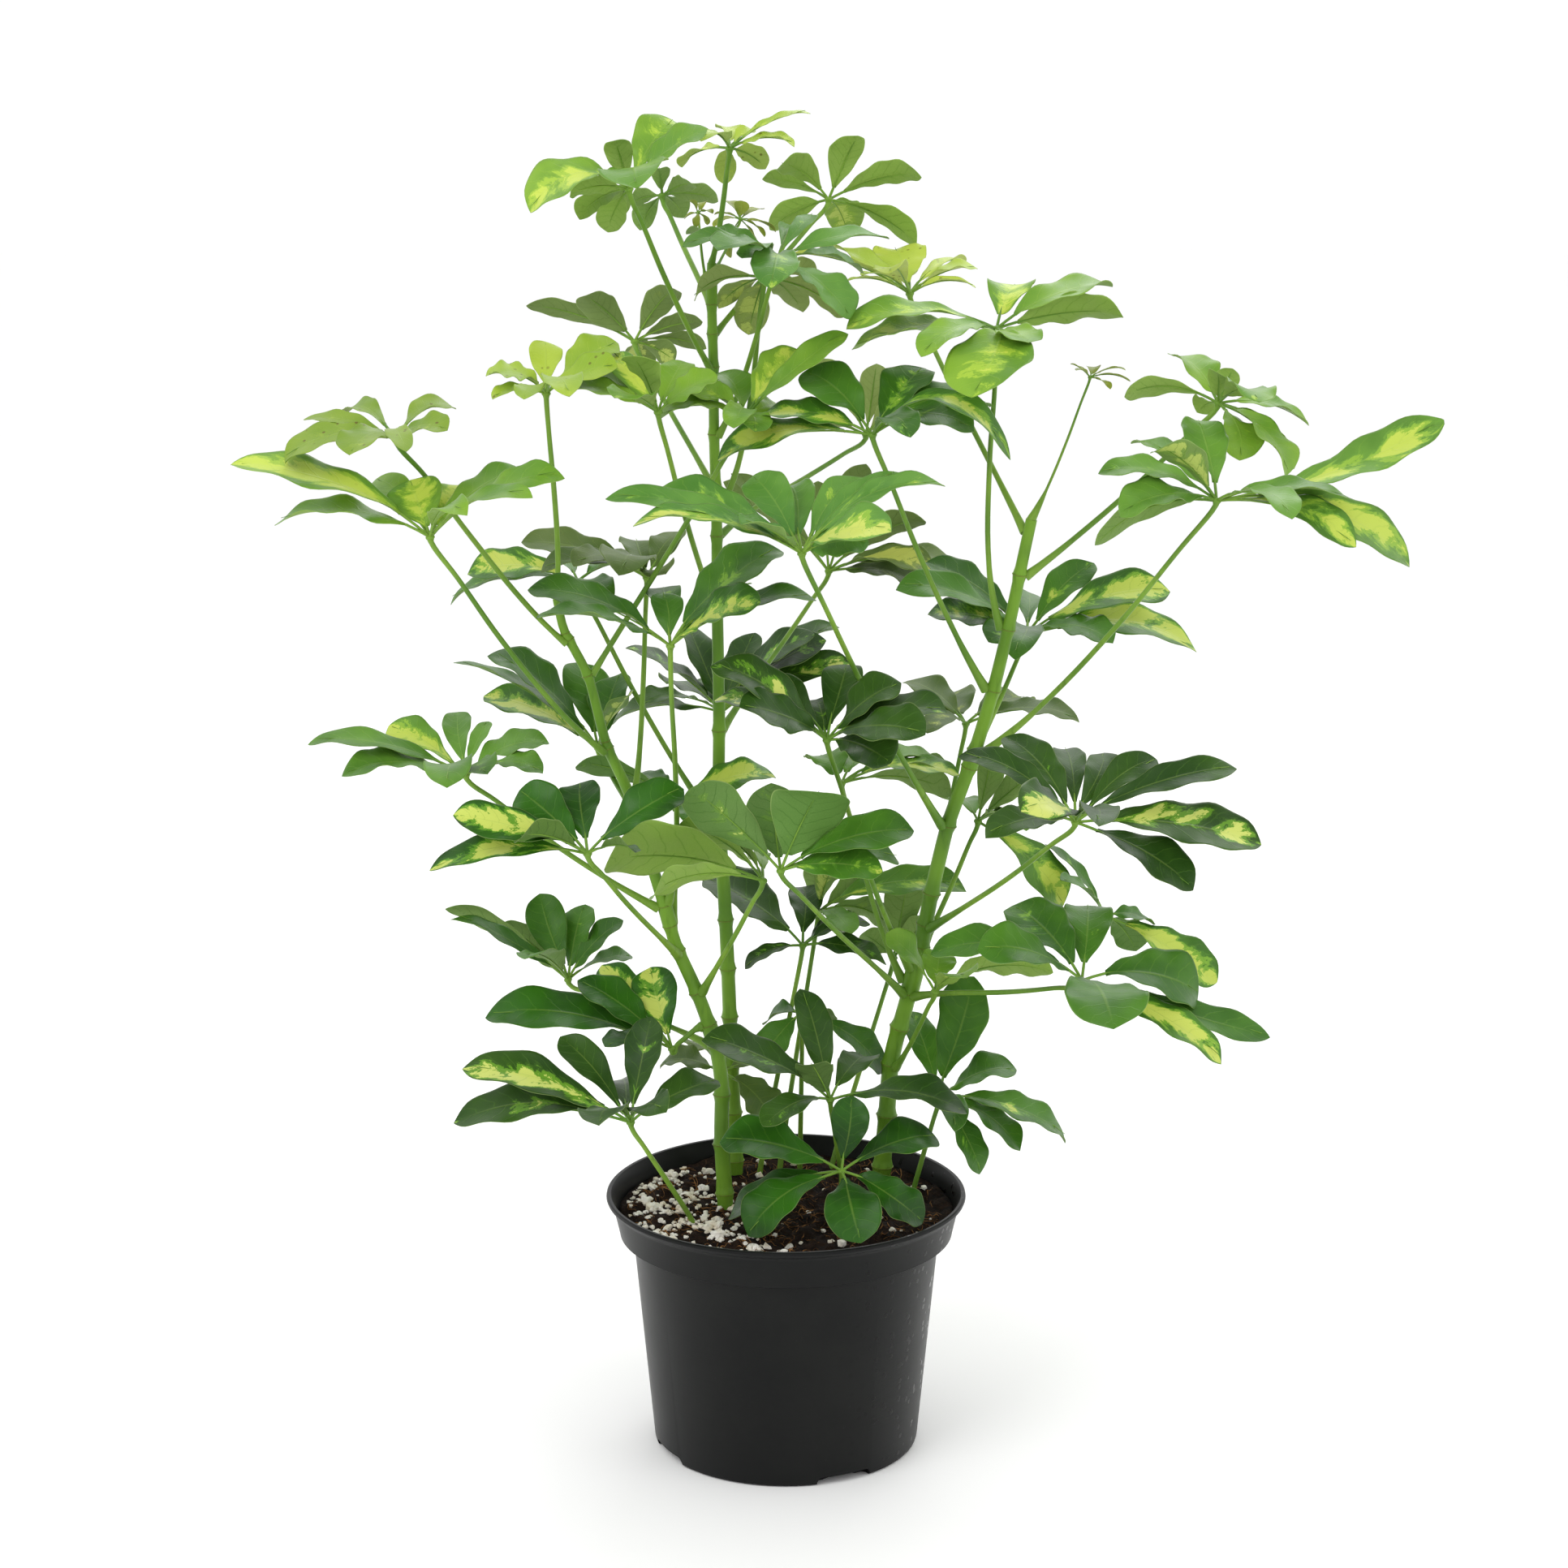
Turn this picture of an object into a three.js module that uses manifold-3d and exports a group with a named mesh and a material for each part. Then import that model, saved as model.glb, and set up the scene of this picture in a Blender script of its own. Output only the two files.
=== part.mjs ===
// Potted variegated umbrella plant: three green stems and their compound leaves in a black nursery pot.
// Millimetres, +Z up, origin at the middle of the pot's underside, the viewer on the -Y side.
import * as THREE from 'three';
import { mergeVertices } from 'three/addons/utils/BufferGeometryUtils.js';
import Module from 'manifold-3d';

const wasm = await Module();
wasm.setup();
const { Manifold, Mesh: SolidMesh } = wasm;

// Pot
const potHeight = 170;
const rimRadius = 117.5;
const bandTopRadius = 113;
const bandFootRadius = 109;
const bandHeight = 27;
const bodyTopRadius = 100;
const bodyFootRadius = 87;
const wall = 2;
const lipThickness = 3;
const stepHeight = 0.5;
const floorHeight = 9;
const padRadius = 52;
const footRingWidth = 9;
const potSides = 36;
const notchCount = 4;
const notchWidth = 38;
const notchHeight = 5.5;
const notchTurn = -64;

// Soil
const soilTop = 158;
const soilGap = 0.4;
const soilSides = 28;
const soilRings = [0, 20, 40, 58, 76, 94];
const stemHoleDepth = 60;
const stalkHoleDepth = 26;
const holeGap = 0.35;

// Stems
const stemSides = 6;
const ringSwell = 1.2;
const ringSpacing = 34;
const ringHalfHeight = 5;

// Leaves
const stalkSides = 4;
const stalkRadius = 1.9;
const sheathRadius = 3.9;
const hubRadius = 3.2;
const hubHalfHeight = 1.1;
const budScale = 0.5;
const leafGap = 0.35;
const footReach = 9;
const leafletStalk = 0.17;
const leafletStalkRadius = 0.95;
const ribHalfThickness = 0.6;
const fineBreadth = 29;
const arch = 0.25;
const fold = 0.2;
const waveHeight = 1.6;
const depthSpread = 1.3;
const hubStep = 11;
const tipStep = 9;
const bowStep = 9;
const clearance = 0.9;
const siblingGap = 0.3;
const hubShare = 0.4;

// The reference view: the eye stands in front of the plant and looks slightly down at it.
const viewMiddle = [968.5, 966];
const viewFocal = 4080;
const eye = new THREE.Vector3(0, -2060, 895);
const viewPitch = THREE.MathUtils.degToRad(12.4);
const viewForward = new THREE.Vector3(0, Math.cos(viewPitch), -Math.sin(viewPitch));
const viewUp = new THREE.Vector3(0, Math.sin(viewPitch), Math.cos(viewPitch));
const worldUp = new THREE.Vector3(0, 0, 1);
const awayAxis = new THREE.Vector3(0, 1, 0);

// Stem centre lines: pixel x, pixel y and depth along Y. Thickness is the diameter at foot and top.
const stems = [
  { name: 'stem_left', thick: [11.5, 5.5], holeX: 893,
    line: [[894, 1492, 0], [889, 1400, 0], [888, 1320, -1], [872, 1258, -2], [849, 1200, -4],
      [834, 1168, -5], [820, 1120, -8], [785, 1010, -14], [768, 960, -16], [748, 920, -18],
      [735, 870, -20], [724, 832, -22], [705, 795, -24], [692, 770, -26], [686, 738, -28]] },
  { name: 'stem_middle', thick: [11, 6],
    line: [[906, 1444, 66], [905, 1400, 66], [901, 1300, 64], [897, 1195, 60], [893, 1113, 58],
      [886, 1000, 54], [886, 880, 52], [884, 760, 50], [883, 640, 48], [880, 540, 46],
      [879, 450, 44], [877, 375, 42], [877, 324, 42]] },
  { name: 'stem_right', thick: [13, 7.5],
    line: [[1086, 1456, 55], [1092, 1380, 53], [1099, 1302, 50], [1116, 1239, 46], [1134, 1168, 40],
      [1150, 1090, 34], [1168, 1016, 28], [1183, 975, 24], [1199, 932, 20], [1222, 857, 14],
      [1241, 780, 8], [1252, 730, 5], [1266, 660, 2], [1271, 640, 1]] },
];

// Each leaf shows at these places in the reference view, in pixels. foot is the height on its stem, or
// a point on the soil. hub is where the leaflets meet and depth is its place along Y. span is the full
// reach of a leaflet and width its breadth, in millimetres. open turns the blades to the viewer.
// A tip is [x, y, lean, width, bend, open, sway]: lean runs from -1, straight towards the viewer, to 1,
// straight away. bend scales the droop of that leaflet, open is its own turn where it differs, negative
// when its underside faces the viewer, and sway bows it sideways.
const leaves = [
  { name: 'leaf_base_01', foot: [1035, 1503], hub: [1037, 1443], depth: -42, span: 84, width: 36,
    open: 0.36, tone: 'plain', tips: [[1050, 1350, 0.1, 25], [886, 1402, -0.3, 40], [919, 1522, -0.7, 34],
      [897, 1501, -0.1, 32], [1060, 1531, -0.8, 36], [1138, 1507, -0.2, 32], [1157, 1398, 0.5, 34]] },
  { name: 'leaf_base_02', foot: [872, 1502], hub: [777, 1383], depth: -52, span: 108, width: 38,
    open: 0.4, tone: 'dark', tips: [[559, 1384, -0.1, 34], [569, 1312, 0.1, 34], [690, 1277, 0.4, 23],
      [803, 1252, 0.3, 25], [886, 1330, 0.3, 30], [737, 1384, -0.9, 30], [817, 1364, -0.85, 26],
      [760, 1338, 0.95, 30]] },
  { name: 'leaf_base_03', foot: [1047, 1484], hub: [1023, 1355], depth: -30, span: 96, width: 36,
    open: 0.16, tone: 'dark', tips: [[866, 1275, -0.2, 38], [1192, 1371, -0.3, 38],
      [998, 1308, -0.3, 24, 1, -0.9], [988, 1216, 0.4, 24], [940, 1388, -0.6, 24],
      [1070, 1300, 0.7, 24]] },
  { name: 'leaf_right_01', foot: 1222, hub: [1333, 1208], stem: 2, depth: -85, span: 112, width: 40,
    open: 0.16, tone: 'dark', tips: [[1247, 1114, 0.4, 42], [1340, 1111, 0.5, 31],
      [1146, 1175, 0.1, 30, 1.5], [1482, 1226, 0.1, 46, 1.4], [1566, 1277, -0.1, 26, 0.15],
      [1510, 1307, -0.3, 28, 0.7], [1372, 1268, -0.85, 50], [1206, 1166, -0.3, 34]] },
  { name: 'leaf_left_01', foot: 1222, hub: [940, 1085], stem: 0, depth: -100, span: 104, width: 40,
    open: -1.3, tone: 'mid', tips: [[740, 1062, -0.4, 52], [838, 1012, 0.4, 24], [905, 1042, 0.7, 30],
      [800, 1102, -0.7, 30], [872, 1024, 0.8, 26]] },
  { name: 'leaf_right_02', foot: 1222, hub: [962, 1073], stem: 2, depth: -62, span: 92, width: 44,
    open: -1.3, tone: 'mid', tips: [[848, 968, -0.2, 37], [1012, 970, -0.4, 51], [950, 965, 0.5, 34],
      [1127, 1022, 0.1, 33, 1.15, 0.5], [1112, 1056, 0.6, 26, 1, 0.4], [1088, 1074, -0.2, 28, 1, 0.5]] },
  { name: 'leaf_right_03', foot: 1016, hub: [988, 682], stem: 2, depth: -95, span: 104, width: 40,
    open: 0.16, tone: 'dark', tips: [[745, 609, 0.1, 24], [779, 638, -0.2, 28], [804, 605, 0.3, 36],
      [915, 640, -0.3, 34], [926, 584, 0.6, 27, 1, 0.4], [970, 594, 0.8, 25], [1062, 588, 0.5, 24],
      [1108, 577, 0.3, 18], [1165, 593, 0.1, 26, 1.5], [1098, 650, -0.5, 38, 1.3, 0.5],
      [1071, 668, -0.5, 36, 1, 0.6]] },
  { name: 'leaf_left_02', foot: 832, hub: [919, 515], stem: 0, depth: -55, span: 76, width: 32, open: 0.2,
    tone: 'fresh', tips: [[820, 467, 0.1, 36, 1, 0.5], [812, 511, -0.5, 28], [884, 458, 0.6, 27],
      [993, 430, 0.4, 36, 1.8], [1043, 407, 0.2, 22, 1.3, 0.6], [970, 502, 0.4, 24],
      [904, 527, -0.95, 20], [931, 529, -0.95, 22]] },
  { name: 'leaf_right_04', foot: 775, hub: [1228, 405], stem: 2, depth: -60, span: 92, width: 40,
    open: 0.2, tone: 'fresh', tips: [[1196, 488, -0.9, 54, 1, 0.5, -0.22], [1048, 427, -0.1, 36, 0.6],
      [1041, 402, 0.2, 38], [1134, 436, -0.7, 26], [1252, 350, 0.7, 30, 1.2], [1371, 349, 0.3, 40],
      [1385, 384, -0.1, 32, 0.6, -0.9], [1268, 421, -0.8, 28, 0.2]] },
  { name: 'leaf_middle_01', foot: 452, hub: [775, 233], stem: 1, depth: -28, span: 82, width: 36,
    open: 0.2, tone: 'fresh', tips: [[650, 260, -0.4, 50, 2.1], [712, 268, 0.3, 21, 1, -0.9],
      [700, 240, 0.1, 18, 1, -0.9], [748, 286, 0.4, 19, 1, -0.9], [768, 264, 0.7, 14, 1, -0.9],
      [757, 170, -0.3, 17, 1, -0.9], [832, 144, 0.5, 30, 1.2, 0.5], [872, 158, 0.4, 34, 1.1],
      [784, 228, -0.99, 42, 1.3]] },
  { name: 'leaf_middle_02', foot: 535, hub: [958, 320], stem: 1, depth: -42, span: 82, width: 34,
    open: 0.2, tone: 'dark', tips: [[950, 352, -0.98, 30], [1049, 392, -0.5, 35], [1096, 293, 0.3, 26],
      [1062, 336, 0.6, 28], [1003, 262, 0.7, 13], [982, 284, 0.85, 11], [845, 286, 0.4, 24],
      [840, 299, -0.3, 22], [884, 309, -0.9, 32], [914, 318, -0.8, 22]] },
  { name: 'leaf_left_03', foot: 738, hub: [673, 485], stem: 0, top: true, depth: -52, span: 66, width: 30,
    open: 0.36, tone: 'lime', tips: [[598, 461, -0.2, 30, 1.7], [606, 488, -0.5, 16, 0.7],
      [645, 491, -0.8, 18], [672, 420, 0.5, 21], [762, 420, 0.4, 30], [760, 449, -0.2, 28, 1, 0.7],
      [702, 484, -0.8, 24]] },
  { name: 'leaf_left_04', foot: 922, hub: [530, 662], stem: 0, depth: -60, span: 100, width: 36,
    open: 0.16, tone: 'mid', tips: [[284, 571, -0.1, 42, 1.4], [336, 641, -0.4, 32, 1.3],
      [462, 588, 0.6, 20], [505, 590, 0.4, 34, 1, 0.5], [575, 594, 0.4, 27, 1, 0.5], [648, 575, 0.5, 30],
      [694, 580, 0.1, 28], [653, 604, -0.2, 24], [571, 627, -0.85, 20]] },
  { name: 'leaf_left_05', foot: 788, hub: [488, 541], stem: 0, depth: -62, span: 84, width: 34,
    open: 0.26, tone: 'lime', tips: [[346, 565, -0.3, 34, 1.15], [374, 517, 0.3, 17],
      [425, 508, 0.6, 21, 1.8], [430, 559, -0.8, 30, 1, 0.6], [501, 556, -0.95, 15], [551, 527, -0.3, 26],
      [559, 501, 0.5, 23, 1.4]] },
  { name: 'leaf_right_05', foot: 925, hub: [1499, 617], stem: 2, depth: -55, span: 104, width: 36,
    open: 0.16, tone: 'mid', tips: [[1352, 580, 0.1, 28], [1378, 632, -0.3, 36],
      [1349, 672, 0.1, 19, 1.4, -0.9], [1394, 540, 0.5, 24], [1423, 549, -0.3, 27, 1.3, -0.9],
      [1475, 514, 0.6, 30], [1780, 514, 0, 34, -0.7, 0.3], [1662, 611, -0.3, 26],
      [1737, 698, -0.2, 38, 1.7, 0.7], [1673, 672, -0.6, 24, 1, 0.6], [1593, 633, -0.9, 26]] },
  { name: 'leaf_right_06', foot: 708, hub: [1501, 497], stem: 2, depth: 12, span: 84, width: 34,
    open: 0.14, tone: 'fresh', tips: [[1383, 487, 0, 18, 1.4, -0.9], [1447, 435, 0.4, 38],
      [1500, 458, -0.3, 15, 1, -0.9], [1519, 454, -0.3, 16, 1, -0.9], [1552, 492, -0.85, 30],
      [1613, 524, 0.1, 24], [1475, 507, 0.3, 18, 1, -0.9], [1600, 575, 0.1, 16], [1590, 585, -0.4, 40],
      [1530, 566, -0.6, 29]] },
  { name: 'leaf_right_07', foot: 1138, hub: [1325, 1013], stem: 2, depth: -70, span: 108, width: 40,
    open: 0.26, tone: 'dark', tips: [[1238, 907, 0.5, 29], [1311, 919, 0.8, 20], [1361, 926, 0.6, 20],
      [1427, 933, 0.4, 22], [1525, 944, 0.1, 26, 1.2], [1555, 1040, -0.2, 42, 0.6],
      [1472, 1095, -0.4, 36, 0.45], [1262, 995, -0.85, 34, 1, 0.8], [1214, 1027, -0.5, 24],
      [1182, 925, 0.1, 24], [1355, 1012, -0.95, 24]] },
  { name: 'leaf_left_06', foot: 1172, hub: [724, 1052], stem: 0, depth: -95, span: 104, width: 38,
    open: 0.36, tone: 'dark', tips: [[558, 1004, -0.2, 29], [528, 1071, -0.3, 24], [638, 972, 0.3, 30],
      [714, 962, 0.5, 27], [843, 969, 0.2, 31], [784, 1048, -0.2, 22, 1.2, -0.9],
      [638, 1030, -0.4, 26, 1.2, -0.9]] },
  { name: 'leaf_left_07', foot: 1262, hub: [828, 1292], stem: 0, depth: -22, span: 92, width: 42,
    open: 0.36, tone: 'dark', tips: [[596, 1248, -0.2, 40], [712, 1206, 0.2, 29], [742, 1187, 0.3, 26],
      [800, 1190, 0.5, 30], [745, 1288, -0.6, 26]] },
  { name: 'leaf_left_08', foot: 1115, hub: [574, 955], stem: 0, depth: -22, span: 92, width: 34,
    open: 0.16, tone: 'mid', tips: [[378, 910, 0.1, 26], [420, 953, -0.3, 34], [478, 893, 0.4, 26],
      [565, 877, 0.7, 19], [601, 886, 0.7, 13], [677, 914, 0.2, 34], [670, 949, -0.3, 26],
      [550, 963, -0.95, 30], [600, 952, -0.95, 26]] },
  { name: 'leaf_left_09', foot: 1110, hub: [826, 796], stem: 0, depth: -48, span: 98, width: 38,
    open: 0.16, tone: 'dark', tips: [[650, 727, 0.1, 34], [660, 758, -0.3, 30], [963, 672, 0.3, 52, 1.5],
      [1006, 732, -0.1, 28], [937, 742, -0.6, 34, 1, 0.8], [925, 716, 0.5, 22],
      [817, 728, 0.3, 20, 1, 0.5], [817, 722, 0.7, 22]] },
  { name: 'leaf_right_08', foot: 850, hub: [1075, 536], stem: 2, depth: -18, span: 92, width: 38,
    open: 0.36, tone: 'mid', tips: [[991, 456, 0.3, 36, 1.6], [1139, 450, 0.4, 36],
      [1222, 498, 0.1, 36, 1.6], [1202, 527, -0.3, 32, 1.25], [1252, 562, -0.3, 24, 2.7],
      [882, 564, -0.2, 36, 0.8], [927, 515, 0.1, 28, 1.2], [1121, 531, -0.9, 24]] },
  { name: 'leaf_right_09', foot: 1190, hub: [1019, 912], stem: 2, depth: -30, span: 88, width: 40,
    open: 0.14, tone: 'dark', tips: [[912, 868, -0.5, 36, 1, 0.7], [880, 856, 0.2, 30],
      [950, 833, 0.5, 22], [1045, 814, 0.6, 26], [1110, 840, 0.4, 36], [1167, 872, 0, 40],
      [1140, 902, -0.4, 36, 1, 0.5], [1098, 940, -0.7, 38], [1005, 862, 0.3, 24, 1, 0.6],
      [878, 814, 0.4, 34, 1, 0.5]] },
  { name: 'leaf_middle_03', foot: 745, hub: [811, 508], stem: 1, depth: -30, span: 70, width: 30,
    open: 0.16, tone: 'mid', tips: [[690, 462, 0.2, 28], [692, 478, -0.2, 22], [757, 489, -0.8, 26],
      [753, 431, 0.5, 22], [843, 444, 0.6, 22], [884, 462, 0.4, 28], [779, 437, -0.8, 26]] },
  { name: 'leaf_right_10', foot: 1310, hub: [1152, 1222], stem: 2, depth: 4, span: 74, width: 30,
    open: 0.14, tone: 'fresh', tips: [[1298, 1198, 0, 32, 1.5, -0.9], [1158, 1172, 0.5, 24],
      [1092, 1150, 0.3, 26], [1190, 1200, -0.6, 28]] },
  { name: 'leaf_base_04', foot: [1114, 1474], hub: [1157, 1352], depth: 20, span: 82, width: 36,
    open: 0.26, tone: 'dark', tips: [[1200, 1203, 0.2, 38], [1253, 1315, 0.1, 34], [1319, 1403, -0.1, 36],
      [1257, 1418, -0.4, 30], [1209, 1447, -0.5, 24], [1178, 1390, -0.9, 20], [1120, 1243, 0.5, 22]] },
  { name: 'leaf_middle_04', foot: 411, hub: [1021, 246], stem: 1, depth: 112, span: 78, width: 38,
    open: -1, tone: 'fresh', tips: [[960, 200, -0.3, 23, 1.6], [939, 217, 0, 15], [948, 283, 0.2, 18],
      [1057, 166, -0.3, 22, 1.3], [1137, 213, -0.1, 21, 1.2], [1132, 301, 0.3, 20],
      [1045, 287, 0.5, 27]] },
  { name: 'leaf_middle_05', foot: 326, hub: [899, 183], stem: 1, top: true, depth: 22, span: 58,
    width: 22, open: 0.14, tone: 'lime', tips: [[838, 204, 0.4, 22], [864, 168, -0.9, 20],
      [893, 158, 0.8, 16], [928, 158, 0.8, 12], [998, 135, 0.1, 16], [980, 176, -0.5, 18],
      [944, 207, 0.3, 17, 1, -0.9], [893, 226, 0.5, 14, 1, -0.9]] },
  { name: 'leaf_middle_06', foot: 375, hub: [816, 241], stem: 1, depth: 100, span: 70, width: 30,
    open: -1, tone: 'mid', tips: [[853, 226, -0.2, 17], [886, 246, 0.2, 17], [843, 267, 0.5, 17],
      [788, 283, 0.5, 16], [778, 250, 0.3, 14], [812, 205, -0.3, 13]] },
  { name: 'leaf_middle_07', foot: 620, hub: [942, 342], stem: 1, depth: 55, span: 74, width: 36, open: -1,
    tone: 'dull', tips: [[852, 367, 0.1, 22, 1.3], [884, 378, 0.4, 15], [922, 412, 0.5, 23],
      [990, 384, 0.5, 22], [1042, 389, 0.2, 20], [1010, 338, -0.2, 18]] },
  { name: 'leaf_middle_08', foot: 600, hub: [782, 421], stem: 1, depth: 112, span: 84, width: 40,
    open: -1, tone: 'dull', tips: [[648, 375, -0.1, 16, 1.2], [680, 382, 0.1, 15],
      [718, 363, -0.3, 25, 1.6], [832, 354, -0.3, 22, 1.4], [866, 396, 0, 17], [871, 428, 0.2, 13],
      [797, 458, 0.6, 21], [832, 445, 0.5, 18]] },
  { name: 'leaf_right_11', foot: 656, hub: [1121, 362], stem: 2, depth: 30, span: 80, width: 22,
    open: 0.2, tone: 'lime', tips: [[1043, 345, -0.3, 12], [1095, 334, -0.9, 22], [965, 312, 0, 20],
      [1012, 300, 0.4, 28], [1062, 338, -0.3, 14], [1102, 303, 0.7, 36], [1205, 328, 0.2, 24],
      [1203, 352, -0.3, 14], [1190, 318, 0.5, 14], [1125, 332, 0.95, 14]] },
  { name: 'leaf_right_12', foot: 642, hub: [1343, 465], stem: 2, top: true, depth: 5, span: 24, width: 7,
    open: 0, tone: 'bud', tips: [[1319, 448, 0.3, 6], [1326, 456, -0.3, 6], [1350, 452, 0.8, 9],
      [1369, 479, -0.4, 8], [1393, 470, 0.2, 8], [1387, 454, 0.4, 6]] },
  { name: 'leaf_middle_09', foot: 338, hub: [912, 270], stem: 1, depth: 72, span: 24, width: 9, open: 0.2,
    tone: 'bud', tips: [[880, 264, 0.3, 8], [878, 278, -0.3, 8], [895, 246, 0.6, 11], [913, 247, 0.6, 10],
      [939, 257, 0.3, 12], [956, 286, -0.3, 9], [942, 292, -0.6, 9], [932, 314, -0.6, 10],
      [900, 318, -0.6, 11]] },
  { name: 'leaf_middle_10', foot: 350, hub: [860, 262], stem: 1, depth: 40, span: 13, width: 5, open: 0.2,
    tone: 'bud', tips: [[843, 270, -0.3, 5], [851, 246, 0.3, 5], [870, 248, 0.3, 5], [879, 262, 0.2, 5],
      [872, 277, -0.3, 5], [857, 280, -0.5, 5]] },
  { name: 'leaf_left_10', foot: 985, hub: [797, 712], stem: 0, depth: 38, span: 84, width: 34, open: 0.55,
    tone: 'dull', tips: [[642, 667, 0.1, 36], [665, 699, -0.3, 30], [706, 692, -0.6, 26],
      [765, 700, -0.95, 36], [783, 663, 0.7, 24], [837, 655, 0.6, 22], [820, 705, -0.3, 24]] },
  { name: 'leaf_left_11', foot: 1012, hub: [737, 922], stem: 0, depth: 62, span: 92, width: 38,
    open: 0.36, tone: 'dark', tips: [[560, 812, 0.1, 24], [606, 800, 0.4, 43, 1, 0.7],
      [596, 857, -0.3, 37, 1, 0.7], [712, 816, 0.7, 34], [764, 828, 0.4, 32], [776, 855, 0.1, 32]] },
  { name: 'leaf_middle_11', foot: 1012, hub: [712, 716], stem: 1, depth: 78, span: 84, width: 34,
    open: 0.2, tone: 'dark', tips: [[576, 708, -0.2, 40, 1, 0.55], [550, 739, -0.4, 26],
      [690, 690, 0.7, 20], [790, 697, 0.4, 34], [740, 752, -0.8, 30]] },
  { name: 'leaf_middle_12', foot: 960, hub: [889, 878], stem: 1, depth: 118, span: 90, width: 40,
    open: 0.26, tone: 'dark', tips: [[771, 797, 0.3, 34], [846, 768, 0.5, 31], [930, 778, 0.5, 27],
      [822, 838, 0.7, 34], [745, 893, -0.2, 30, 1, 0.5], [787, 868, -0.6, 28, 1, 0.6],
      [1051, 813, -0.2, 30, 1, 0.8], [1018, 789, 0.1, 36, 1, 0.8], [1032, 766, 0.1, 44],
      [1004, 781, 0.3, 34, 1.3, 0.8]] },
  { name: 'leaf_middle_13', foot: 900, hub: [1021, 704], stem: 1, depth: 142, span: 92, width: 38,
    open: 0.2, tone: 'dull', tips: [[1068, 568, -0.3, 21, 1, -1], [1143, 638, -0.1, 22, 2.2, -1],
      [903, 578, -0.3, 22, 1, -1], [892, 592, -0.1, 20, 1, -1], [1008, 592, -0.4, 20, 1, -1],
      [1182, 694, 0.1, 32, 1, 0.6], [1150, 702, -0.6, 30, 1, 0.6], [1140, 730, -0.6, 32, 1, 0.6]] },
  { name: 'leaf_right_13', foot: 945, hub: [1265, 782], stem: 2, depth: 84, span: 94, width: 38,
    open: 0.75, tone: 'mid', tips: [[1348, 692, 0.4, 27], [1443, 726, 0.1, 38, 1.4],
      [1477, 800, -0.2, 38], [1372, 791, -0.6, 32], [1250, 806, -0.95, 24], [1218, 790, -0.8, 28],
      [1143, 757, -0.1, 36], [1105, 718, 0.2, 34], [1140, 693, 0.3, 34], [1268, 730, 0.8, 20]] },
  { name: 'leaf_right_14', foot: 1100, hub: [1190, 892], stem: 2, depth: 106, span: 84, width: 36,
    open: 0.45, tone: 'dull', tips: [[1332, 886, 0, 30], [1266, 858, 0.5, 34], [1118, 838, 0.5, 34],
      [1142, 903, -0.7, 20], [1150, 858, 0.8, 40]] },
  { name: 'leaf_right_15', foot: 1210, hub: [1037, 965], stem: 2, depth: 28, span: 82, width: 36,
    open: 0.12, tone: 'mid', tips: [[1182, 955, 0, 30], [1167, 938, 0.4, 32], [1175, 976, 0, 26, 1, -0.9],
      [1075, 935, 0.8, 34], [1010, 930, 0.6, 30]] },
  { name: 'leaf_right_16', foot: 1165, hub: [1205, 1012], stem: 2, depth: 62, span: 84, width: 38,
    open: 0.16, tone: 'mid', tips: [[1312, 1116, -0.2, 38, 0.7, 0.8], [1288, 945, -0.2, 21, 1, -0.9],
      [1222, 932, -0.3, 18, 1, -0.9], [1300, 1003, -0.5, 24], [1170, 985, 0.6, 28],
      [1265, 1020, -0.8, 30]] },
  { name: 'leaf_right_17', foot: 1185, hub: [1361, 1128], stem: 2, depth: 60, span: 86, width: 34,
    open: 0.16, tone: 'mid', tips: [[1288, 1040, 0.3, 20], [1308, 1082, -0.3, 24], [1422, 1139, 0.1, 22],
      [1500, 1210, -0.1, 38, 0.5, 0.8], [1400, 1172, 0.2, 28, 1, -0.9]] },
  { name: 'leaf_middle_14', foot: 660, hub: [1067, 536], stem: 1, depth: 140, span: 82, width: 34,
    open: -1, tone: 'dull', tips: [[1010, 441, -0.2, 19], [1080, 448, -0.3, 19], [1148, 470, -0.2, 19],
      [985, 520, 0, 18], [1105, 500, -0.4, 18]] },
  { name: 'leaf_left_12', foot: 1288, hub: [700, 1207], stem: 0, depth: 52, span: 84, width: 36,
    open: 0.5, tone: 'dark', tips: [[550, 1113, 0, 16, 1, -0.8], [558, 1125, -0.2, 20],
      [618, 1136, -0.1, 22, 1, -0.9], [665, 1101, 0.4, 27], [720, 1113, 0.4, 29], [768, 1134, 0.3, 25],
      [780, 1177, 0, 20], [645, 1176, -0.75, 26]] },
  { name: 'leaf_left_13', foot: 1140, hub: [835, 988], stem: 0, depth: 38, span: 72, width: 32, open: 0.2,
    tone: 'mid', tips: [[707, 940, 0, 20, 1.2, -0.9], [783, 950, 0.5, 24], [957, 953, 0.1, 34, 1, 0.7],
      [868, 1018, -0.7, 34], [903, 1008, -0.3, 30]] },
  { name: 'leaf_base_05', foot: [930, 1446], hub: [989, 1165], depth: 62, span: 80, width: 30, open: 0.26,
    tone: 'dark', tips: [[916, 1192, -0.2, 16], [867, 1080, 0.1, 54], [1093, 1188, -0.1, 28],
      [1040, 1148, 0.6, 20], [1072, 1135, 0.3, 24], [990, 1090, 0.8, 24]] },
  { name: 'leaf_base_06', foot: [956, 1442], hub: [1008, 1124], depth: 92, span: 74, width: 30, open: 0.2,
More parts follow.
